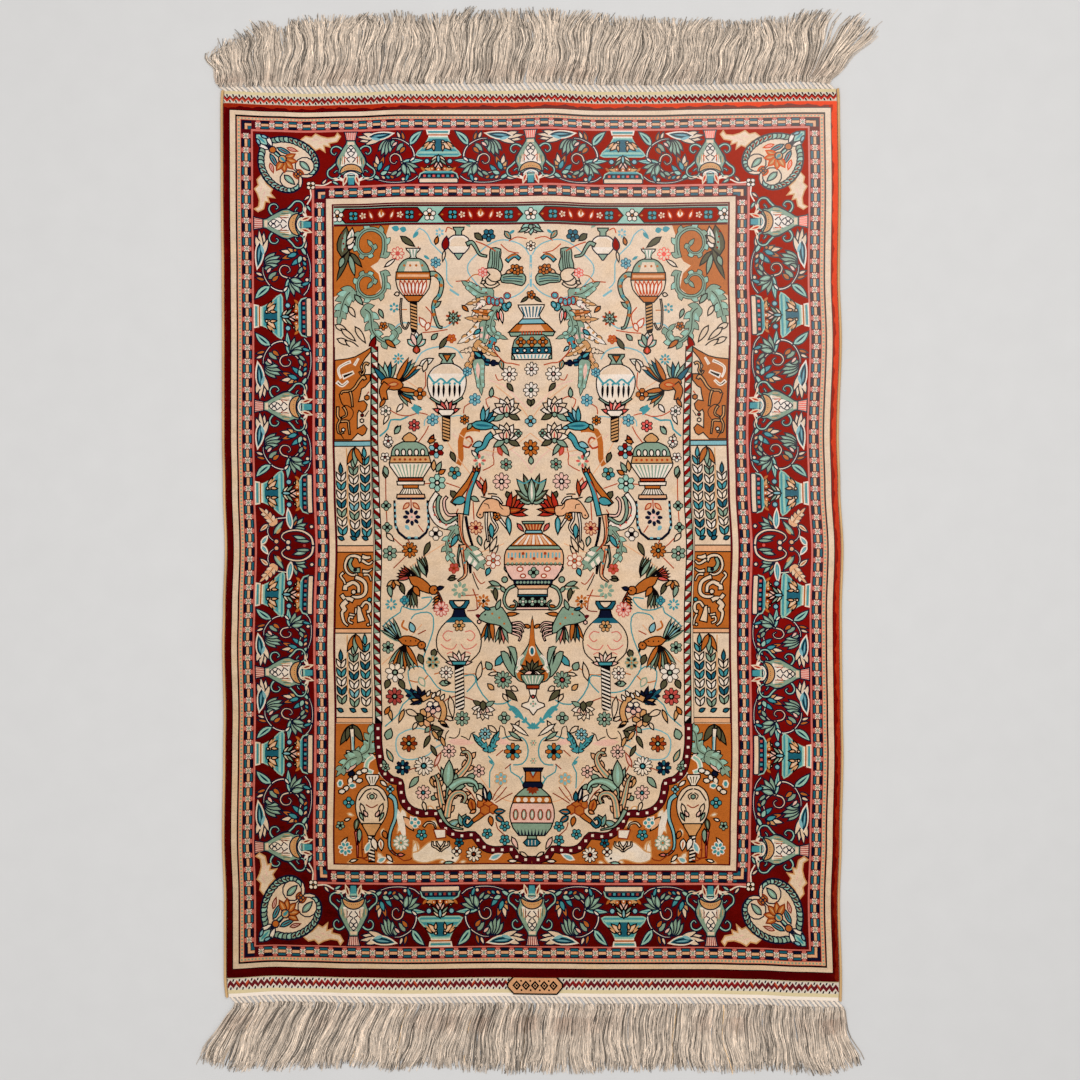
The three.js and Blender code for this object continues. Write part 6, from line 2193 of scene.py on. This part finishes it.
def add_binding(side, material, sizes, colours):
    """Silk thread wound round a core beside the cloth's edge."""
    half = BINDING_WIDTH / 2
    pitch = sizes.wrap_pitch / MM
    turns = (PILE_LENGTH + TOP_KILIM + BOTTOM_KILIM) / pitch
    steps = int(turns * WRAP_STEPS)
    down = np.linspace(-TOP_KILIM, PILE_LENGTH + BOTTOM_KILIM, steps)
    x, y, z = rug_edge(down, side, SEAM_GAP + half)
    angle = np.arange(steps) * 2 * np.pi / WRAP_STEPS
    reach = (half - 0.2) * MM
    z = z + (half + 0.05) * MM
    wound = np.stack([x + reach * np.cos(angle), y, z + reach * np.sin(angle)], axis=1)[None]
    core = np.stack([x, y, z], axis=1)[None, ::12]
    along = np.array([0.0, 1.0, 0.0])
    uneven = 1 + 0.12 * np.sin(down * 0.37) * np.sin(down * 0.11)
    parts = (
        tubes(wound, 0.26 * MM * uneven[None], np.full((1, steps), 0.62 * pitch * MM), 3, along),
        tubes(core, np.full(core.shape[:2], 1.1 * MM), np.full(core.shape[:2], 1.1 * MM), 8, [0, 0, 1]),
    )
    places, faces, shades, count = [], [], [], 0
    tint = np.random.default_rng(7 + side)
    for part_places, part_faces in parts:
        faces.append(part_faces.reshape(-1, 3) + count)
        places.append(part_places)
        count += len(part_places)
        colour = np.tile(colours[DYE_NAMES.index("gold")], (len(faces[-1]), 1))
        runs = np.interp(np.linspace(0, 60, len(colour)), np.arange(61), tint.uniform(0.82, 1.1, 61))
        colour[:, :3] *= runs[:, None]
        shades.append(colour)
    name = "binding_left" if side < 0 else "binding_right"
    return add_mesh(name, np.concatenate(places), np.concatenate(faces), np.concatenate(shades), material,
                    BINDING_CREASE)


def add_fringe(end, fall, material, sizes, colours):
    """The warp ends beyond a flat-woven end: twisted at their roots and loose beyond, in locks."""
    top = end == "top"
    way = 1 if top else -1
    edge = -TOP_KILIM if top else PILE_LENGTH + BOTTOM_KILIM
    draw = np.random.default_rng(11 if top else 23)
    looks = FRINGE_LOOKS[end]
    lock = np.arange(LOCKS)
    across = (lock + 0.5 + draw.uniform(-0.12, 0.12, LOCKS)) / LOCKS
    root_x, root_y = on_floor(across, np.full(LOCKS, edge))
    tufts = np.repeat(draw.normal(0, 1, (2, LOCKS // TUFT + 1)), TUFT, axis=1)[:, :LOCKS]
    reach = fall.between(across, "reach") + tufts[0] * 1.4 + draw.uniform(-2, 1, LOCKS)
    lean = fall.between(across, "lean") + tufts[1] * looks["tuft lean"]

    def lock_line(which, share):
        """Where a lock's middle runs, from 0 at its root to 1 at its tip, in millimetres."""
        cord = np.minimum(share / CORD_SHARE, 1)
        loose = np.maximum(share - CORD_SHARE, 0)
        slant = -way * CORD_SLANT * cord * np.exp(-5.0 * loose)
        drift = looks["drift"] * (
            np.sin(2 * np.pi * (1.1 * share + 0.043 * which)) * loose
            + 0.6 * np.sin(2 * np.pi * (1.9 * share - 0.087 * which + 0.3)) * loose)
        x = root_x[which] + lean[which] * loose**1.1 * 1.15 + slant + drift
        y = root_y[which] + way * reach[which] * share
        return x, y

    cord_share = np.linspace(0, CORD_SHARE * 1.1, CORD_STEPS)[None]
    ply = np.repeat(lock, 2)[:, None]
    angle = 2 * np.pi * CORD_TURNS * cord_share / CORD_SHARE + np.tile([0, np.pi], LOCKS)[:, None]
    x, y = lock_line(ply, cord_share)
    cords = np.stack([x + 0.6 * np.cos(angle), y, 1.5 + 0.45 * np.sin(angle)], axis=2) * MM
    thick = np.full(cords.shape[:2], 0.9 * MM)
    parts = [(tubes(cords, thick, thick * 0.7, 4, [0, 0, 1]), np.full(len(cords), CORD_TONE))]

    which = np.repeat(lock, sizes.threads_per_lock)[:, None]
    total = len(which)
    share = CORD_SHARE * 0.85 + np.linspace(0, 1 - CORD_SHARE * 0.85, THREAD_STEPS)[None] ** 1.15
    share = share * draw.uniform(0.85, 1.04, (total, 1))
    x, y = lock_line(which, share)
    loose = np.clip((share - CORD_SHARE) / (1 - CORD_SHARE), 0, 1)
    bundle = np.arange(total)[:, None] // BUNDLE
    side = 0.45 * draw.normal(0, 1, total)[bundle] + draw.normal(0, 0.9, (total, 1))
    spread = (0.8 + looks["spread"] * loose**0.62) * side
    wave = looks["wave"] * draw.normal(0, 1, (total, 1)) * loose**0.7 * np.sin(
        2 * np.pi * draw.uniform(0.7, 2.2, (total, 1)) * share + draw.uniform(0, 2 * np.pi, (total, 1)))
    hook = looks["hook"] * draw.normal(0, 1, (total, 1)) * np.maximum(loose - 0.72, 0) ** 1.5 / 0.148
    stray = np.where(draw.random((total, 1)) < STRAY_SHARE, draw.normal(0, STRAY_REACH, (total, 1)),
                     0) * loose**1.6
    layer = draw.uniform(0, 1, (total, 1)) ** 0.75
    height = 0.3 + 2.3 * layer * np.exp(-0.8 * loose) + 0.5 * np.exp(-9 * loose)
    threads = np.stack([x + spread + wave + hook + stray, y, height + 0 * x], axis=2) * MM
    if top:
        turn = np.linspace(0, 2 * np.pi, THREAD_STEPS)
        for k in range(CURLS):
            high, wide = 11.0 + 1.6 * k, 8.0 + 1.5 * k
            threads[k, :, 0] = (root_x[0] - 2 - wide * np.sin(turn * 0.5) ** 0.8 - 3 * np.cos(turn)) * MM
            threads[k, :, 1] = (root_y[0] + 5 + high * (1 - np.cos(turn * 0.72))) * MM
    thin = sizes.thread_width / 2 * (1.25 - 0.4 * layer) * (1 - 0.4 * loose**6)
    # Painted shade: lower threads darker, a random tone on top, and a share of threads painted dark as
    # shaded under-strands and gaps.
    tones = 0.42 + 0.26 * layer[:, 0] + 0.7 * draw.random(total)
    tones[draw.random(total) < SHADED_SHARE] = SHADED_TONE
    parts.append((tubes(threads, thin, thin * 0.62, 3, [0, 0, 1], 0.25), tones))

    places, faces, shades, count = [], [], [], 0
    base = colours[DYE_NAMES.index("warp")]
    browned = draw.uniform(0, 1, 40) ** 1.5
    for (part_places, part_faces), tones in parts:
        number, each, _ = part_faces.shape
        colour = np.ones((number, each, 4)) * base
        colour[:, :, :3] *= (tones * draw.uniform(0.92, 1.06, number))[:, None, None]
        if number == total:
            steps = np.repeat((np.arange(THREAD_STEPS - 1) + 0.5) / (THREAD_STEPS - 1), 3)
            along = np.concatenate([steps, steps, [0, 1]])
            patch = np.interp(which[:, 0] / LOCKS, np.linspace(0, 1, 40), browned)
            brown = patch[:,
                          None] * np.exp(-((along - looks["brown at"]) / BROWN_LENGTH) ** 2) * looks["brown"]
            colour[:, :, :3] *= 1 - brown[:, :, None] * np.array(BROWN_LOSS)
            golden = draw.random(number) < looks["golden"]
            colour[golden, :, 1:3] *= (0.8, 0.5)
            # Painted shade: each thread darker and lighter in bands along its length, as it twists in and
            # out of shade.
            banded = np.sin(2 * np.pi * (draw.uniform(1, 3.6, (number, 1)) * along + draw.random((number,
                    1))))
            colour[:, :, :3] *= 1 + 0.26 * banded[:, :, None]
        places.append(part_places)
        faces.append(part_faces.reshape(-1, 3) + count)
        shades.append(colour.reshape(-1, 4))
        count += len(part_places)
    name = "fringe_silk_top" if top else "fringe_silk_bottom"
    return add_mesh(name, np.concatenate(places), np.concatenate(faces), np.concatenate(shades), material,
                    FRINGE_CREASE)


# Finishes. Colours that a dye is multiplied by or mixed with are red, green, blue and alpha.
KNOT_PITCH = 0.00103
# Painted light on the pile: a warmer tint away from the lights and a cooler one near them.
FAR_FROM_LIGHT = (1.01, 0.955, 0.86, 1.0)
NEAR_LIGHT = (0.99, 1.01, 1.08, 1.0)
AGED = (1.0, 0.90, 0.74, 1.0)
# Painted sheen: a warm tint mixed into the pile towards its top and right.
WARM_SHEEN_TINT = (1.0, 0.72, 0.38, 1.0)
# Painted sheen: a pale tint mixed into the pile's other dyes towards its top and right.
PALE_SHEEN_TINT = (0.90, 0.88, 0.88, 1.0)
FLOOR_GREY = (0.62, 0.61, 0.60, 1.0)


class Value:
    """A socket whose arithmetic adds Math nodes."""

    def __init__(self, finish, socket):
        self.finish = finish
        self.socket = socket

    def worked(self, operation, first, second):
        return self.finish.node("ShaderNodeMath", {"operation": operation}, {"Value": first,
                "Value_001": second})

    def __add__(self, other):
        return self.worked("ADD", self, other)

    __radd__ = __add__

    def __mul__(self, other):
        return self.worked("MULTIPLY", self, other)

    __rmul__ = __mul__

    def __sub__(self, other):
        return self.worked("SUBTRACT", self, other)

    def __rsub__(self, other):
        return self.worked("SUBTRACT", other, self)

    def clamped(self):
        return self.finish.node("ShaderNodeClamp", {}, {"Value": self})


class Finish:
    """A material and the method that makes any of its nodes."""

    def __init__(self, name):
        self.material = bpy.data.materials.new(name)
        self.material.use_nodes = True
        self.tree = self.material.node_tree
        self.tree.nodes.clear()

    def node(self, kind, settings, sockets, out=0):
        node = self.tree.nodes.new(kind)
        for setting, value in settings.items():
            setattr(node, setting, value)
        for name, value in sockets.items():
            socket = next(s for s in node.inputs if name in (s.identifier, s.name))
            if isinstance(value, Value):
                self.tree.links.new(value.socket, socket)
            else:
                socket.default_value = value
        return Value(self, node.outputs[out]) if len(node.outputs) else node

    def noise(self, place, scale, detail=2.0, stretch=(1, 1, 1)):
        moved = self.node("ShaderNodeMapping", {}, {"Vector": place, "Scale": stretch})
        return self.node("ShaderNodeTexNoise", {}, {"Vector": moved, "Scale": scale, "Detail": detail})

    def per_knot(self, place, pitch):
        """A number from 0 to 1 for each knot of the pile."""
        snapped = self.node(
            "ShaderNodeVectorMath", {"operation": "SNAP"},
            {"Vector": place, "Vector_001": (pitch, pitch, 1.0)}
        )
        return self.node("ShaderNodeTexWhiteNoise", {}, {"Vector": snapped})

    def lit(self, colour, factor):
        """The colour made lighter or darker by a factor."""
        return self.node(
            "ShaderNodeMix", {"data_type": "RGBA", "blend_type": "MULTIPLY"},
            {"Factor_Float": 1.0, "A_Color": colour, "B_Color": factor}, 2)

    def mixed(self, colour, other, factor):
        return self.node(
            "ShaderNodeMix", {"data_type": "RGBA"},
            {"Factor_Float": factor, "A_Color": colour, "B_Color": other}, 2)

    def surface(self, colour, roughness, height, bump, **sockets):
        """The shader itself, with a bump of so many metres from a height."""
        normal = self.node("ShaderNodeBump", {}, {"Strength": 1.0, "Distance": bump, "Height": height})
        shader = self.node(
            "ShaderNodeBsdfPrincipled", {},
            {"Base Color": colour, "Roughness": roughness, "Normal": normal,
             **{name.replace("_", " "): value for name, value in sockets.items()}})
        self.node("ShaderNodeOutputMaterial", {}, {"Surface": shader})
        return self.material


def silk_pile():
    """Cut silk: each knot a little off its neighbours, with streaks of uneven dye, and painted light:
    painted shade towards the bottom and left, painted sheen towards the top and right.
    """
    finish = Finish("cut_silk")
    place = finish.node("ShaderNodeTexCoord", {}, {}, "Object")
    colour = finish.node("ShaderNodeAttribute", {"attribute_name": "dye"}, {}, "Color")
    knot = finish.per_knot(place, KNOT_PITCH)
    mottle = finish.noise(place, 62.0, 4.0, (1, 1.7, 1))
    streak = finish.noise(place, 12.0, 3.0, (1, 16, 1))
    parts = finish.node("ShaderNodeSeparateColor", {}, {"Color": colour}, "Red")
    green = Value(finish, parts.socket.node.outputs["Green"])
    across = finish.node("ShaderNodeSeparateXYZ", {}, {"Vector": place}, "X")
    down = Value(finish, across.socket.node.outputs["Y"])
    redness = ((parts - green * 4.0) * 5.0).clamped()
    # Painted sheen: red dyes brighter towards the rug's top and right, darker towards its bottom and left.
    red_painted_sheen = redness * (across * 0.82 + down * 0.78 + across * down * 1.9 - 0.14)
    # Random tone per knot, in mottles and in streaks, and painted light: every dye brighter towards the top
    # and right.
    factor = 0.61 + knot * 0.14 + mottle * 0.28 + streak * 0.12 + across * 0.20 + down * 0.26 + red_painted_sheen
    # Painted light: warmer towards the bottom and left, cooler towards the top and right.
    painted_light_tint = finish.mixed(FAR_FROM_LIGHT, NEAR_LIGHT, (down * 1.1 + across * 0.5 + 0.5).clamped())
    colour = finish.lit(finish.lit(colour, factor), painted_light_tint)
    pale = (green * 2.4 - 0.7).clamped()
    aged = finish.lit(colour, AGED)
    patchy = (finish.noise(place, 34.0, 5.0, (1, 1.5, 1)) * 4.0 - 1.7).clamped()
    colour = finish.mixed(colour, aged, patchy * pale * 0.75)
    # Painted sheen: a warm orange tint, stronger towards the top and right.
    warm_painted_sheen = (across * 0.129 + down * 0.112 - 0.029).clamped()
    colour = finish.mixed(colour, WARM_SHEEN_TINT, warm_painted_sheen)
    # Painted sheen: dyes other than the reds paled towards the top and right.
    pale_painted_sheen = (across * 0.2 + down * 0.17 - 0.038).clamped() * (1.0 - redness)
    colour = finish.mixed(colour, PALE_SHEEN_TINT, pale_painted_sheen)
    height = knot * 0.5 + finish.noise(place, 900.0, 2.0) * 0.5
    return finish.surface(colour, 0.58 + knot * 0.12, height, 0.0004, Specular_IOR_Level=0.0)


def plain_silk(name, roughness, bump, scale, stretch):
    """Silk thread that isn't pile: its own colour, a little uneven, with fine strands."""
    finish = Finish(name)
    place = finish.node("ShaderNodeTexCoord", {}, {}, "Object")
    colour = finish.node("ShaderNodeAttribute", {"attribute_name": "dye"}, {}, "Color")
    strands = finish.noise(place, scale, 3.0, stretch)
    patchy = finish.noise(place, 40.0, 3.0)
    colour = finish.lit(colour, 0.76 + strands * 0.32 + patchy * 0.16)
    return finish.surface(colour, roughness + strands * 0.15, strands, bump, Specular_IOR_Level=0.1)


def floor_finish():
    finish = Finish("pale_floor")
    place = finish.node("ShaderNodeTexCoord", {}, {}, "Object")
    grain = finish.noise(place, 30.0, 3.0)
    colour = finish.lit(FLOOR_GREY, 0.97 + grain * 0.06)
    return finish.surface(colour, 0.85, grain, 0.0001)


# The add-on: sizes and dyes that can be changed, an operator for each group of pieces, a panel


class RugSizes(bpy.types.PropertyGroup):
    pile_height: bpy.props.FloatProperty(
        name="Pile height", description="Height of the cut silk above the web", default=PILE_HEIGHT * MM,
        min=0.0005, max=0.006, unit="LENGTH")
    web_thickness: bpy.props.FloatProperty(
        name="Web thickness", description="Thickness of warp and weft under the pile",
        default=WEB_THICKNESS * MM, min=0.0005, max=0.004, unit="LENGTH")
    wrap_pitch: bpy.props.FloatProperty(
        name="Wrap pitch", description="Distance from one turn of the edge's thread to the next",
        default=0.0012, min=0.0008, max=0.004, unit="LENGTH")
    thread_width: bpy.props.FloatProperty(
        name="Thread width", description="Width of one loose thread of the fringe",
        default=0.001, min=0.0002, max=0.002, unit="LENGTH")
    threads_per_lock: bpy.props.IntProperty(
        name="Threads in a lock", description="Loose threads beyond each root of the fringe",
        default=28, min=3, max=30)


class RugDyes(bpy.types.PropertyGroup):
    __annotations__ = {
        name: bpy.props.FloatVectorProperty(
            name=name.replace("_", " ").capitalize(), description=f"Silk of the dye called {name}",
            subtype="COLOR", size=4, min=0.0, max=1.0, default=linear(colour))
        for name, colour in DYES.items()
    }


def dye_colours(scene):
    return np.array([list(getattr(scene.rug_dyes, name)) for name in DYE_NAMES])


class RugOperator(bpy.types.Operator):
    bl_options = {"REGISTER", "UNDO"}


class WeaveWeb(RugOperator):
    """Weave the web with its two flat-woven ends and the design on its back"""

    bl_idname = "rug.weave_web"
    bl_label = "Weave the web"

    def execute(self, context):
        sizes = context.scene.rug_sizes
        upper = patchwork(web_chart(), WEB_TOP, WEB_BOTTOM)
        lower = patchwork(back_chart(rug_chart()), WEB_TOP, WEB_BOTTOM)
        web = sheet_between(
            "web", upper, lower, sizes.web_thickness / MM, 0.0, lambda shown, within: shown >= 0,
            plain_silk("woven_silk", 0.62, 0.0002, 500.0, (1, 2.4, 1)), dye_colours(context.scene))
        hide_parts("rug")
        return {"FINISHED"}


class KnotPile(RugOperator):
    """Knot the pile: the border round the field, and the field"""

    bl_idname = "rug.knot_pile"
    bl_label = "Knot the pile"

    def execute(self, context):
        sizes = context.scene.rug_sizes
        colours = dye_colours(context.scene)
        material = silk_pile()
        field_box = inset_box(FIELD_SEAM)
        upper = patchwork(rug_chart(), 0.0, KNOTS_DOWN, field_box)
        plain = Chart()
        plain.lay(inset_box((0.0, 0.0, 0.0)), "cream")
        lower = patchwork(plain, 0.0, KNOTS_DOWN, field_box)
        low = sizes.web_thickness / MM
        high = low + sizes.pile_height / MM
        for name, is_field in (("pile_border", False), ("pile_field", True)):
            pile = sheet_between(
                name, upper, lower, high, low, lambda shown, within, want=is_field: within == want,
                material, colours)
            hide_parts("rug")
        return {"FINISHED"}


class KnotPatch(RugOperator):
    """Knot the small raised patch on the lower flat-woven end"""

    bl_idname = "rug.knot_patch"
    bl_label = "Knot the patch"

    def execute(self, context):
        sizes = context.scene.rug_sizes
        upper = patchwork(patch_chart(True), PATCH_BOX[0], PATCH_BOX[1])
        lower = patchwork(patch_chart(False), PATCH_BOX[0], PATCH_BOX[1])
        low = sizes.web_thickness / MM
        patch = sheet_between(
            "patch", upper, lower, low + PATCH_RISE, low, lambda shown, within: shown >= 0,
            bpy.data.materials["cut_silk"], dye_colours(context.scene))
        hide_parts("rug")
        return {"FINISHED"}


class OvercastEdges(RugOperator):
    """Wind silk thread along both side edges"""

    bl_idname = "rug.overcast_edges"
    bl_label = "Overcast the edges"

    def execute(self, context):
        material = plain_silk("wound_silk", 0.5, 0.0001, 900.0, (1, 1, 1))
        for side, node in ((-1, "selvedge_left"), (1, "selvedge_right")):
            binding = add_binding(side, material, context.scene.rug_sizes, dye_colours(context.scene))
            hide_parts(node)
        return {"FINISHED"}


class SpreadFringes(RugOperator):
    """Twist the roots of the warp ends and spread them in locks on the floor"""

    bl_idname = "rug.spread_fringes"
    bl_label = "Spread the fringes"

    def execute(self, context):
        material = plain_silk("loose_silk", 0.42, 0.00008, 700.0, (1, 0.15, 1))
        for end, fall in (("top", TOP_FALL), ("bottom", BOTTOM_FALL)):
            fringe = add_fringe(end, fall, material, context.scene.rug_sizes, dye_colours(context.scene))
            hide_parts(f"fringe_{end}")
        return {"FINISHED"}


class SetStage(RugOperator):
    """Lay the pale floor, hang the soft lights and set the camera straight above"""

    bl_idname = "rug.set_stage"
    bl_label = "Set the stage"

    def execute(self, context):
        bpy.ops.object.select_all(action="DESELECT")
        bpy.ops.mesh.primitive_plane_add(size=FLOOR_SIZE, location=(0, 0, -0.0002))
        floor = context.object
        floor.name = "floor"
        floor.data.materials.append(floor_finish())
        floor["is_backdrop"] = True
        for place, size, power in LIGHTS:
            bpy.ops.object.light_add(type="AREA", location=place)
            lamp = context.object
            lamp.data.size = size
            lamp.data.energy = power
            lamp.rotation_euler = Vector(place).to_track_quat("Z", "Y").to_euler()
        world = bpy.data.worlds.new("soft_room")
        context.scene.world = world
        world.use_nodes = True
        world.node_tree.nodes["Background"].inputs["Color"].default_value = (1.0, 1.0, 1.0, 1.0)
        world.node_tree.nodes["Background"].inputs["Strength"].default_value = ROOM_LIGHT
        middle_x = (RUG_LOW.x + RUG_HIGH.x) / 2 + CAMERA_FROM_MIDDLE
        top_y = on_floor(0.5, 0.0)[1] * MM
        bpy.ops.object.camera_add(location=(middle_x, top_y - CAMERA_BELOW_TOP, CAMERA_HEIGHT))
        camera = context.object
        camera.rotation_euler = (0, 0, 0)
        camera.data.lens = CAMERA_LENS
        camera.data.sensor_width = CAMERA_SENSOR
        context.scene.camera = camera
        context.scene.view_settings.view_transform = "Standard"
        return {"FINISHED"}


class RugPanel(bpy.types.Panel):
    bl_idname = "VIEW3D_PT_rug"
    bl_label = "Silk prayer rug"
    bl_space_type = "VIEW_3D"
    bl_region_type = "UI"
    bl_category = "Rug"

    def draw(self, context):
        for group in (context.scene.rug_sizes, context.scene.rug_dyes):
            for name in group.__annotations__:
                self.layout.prop(group, name)
        for step in STEPS:
            self.layout.operator(step.bl_idname)


STEPS = (WeaveWeb, KnotPile, KnotPatch, OvercastEdges, SpreadFringes, SetStage)
CLASSES = (RugSizes, RugDyes, *STEPS, RugPanel)


def register():
    for each in CLASSES:
        bpy.utils.register_class(each)
    bpy.types.Scene.rug_sizes = bpy.props.PointerProperty(type=RugSizes)
    bpy.types.Scene.rug_dyes = bpy.props.PointerProperty(type=RugDyes)


def unregister():
    del bpy.types.Scene.rug_dyes
    del bpy.types.Scene.rug_sizes
    for each in reversed(CLASSES):
        bpy.utils.unregister_class(each)


def main():
    register()
    bpy.ops.rug.weave_web()
    bpy.ops.rug.knot_pile()
    bpy.ops.rug.knot_patch()
    bpy.ops.rug.overcast_edges()
    bpy.ops.rug.spread_fringes()
    bpy.ops.rug.set_stage()
    corners = {"before": CAD_CORNERS, "after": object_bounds()}
    {key: [list(corner) for corner in pair] for key, pair in corners.items()}


if __name__ == "__main__":
    main()
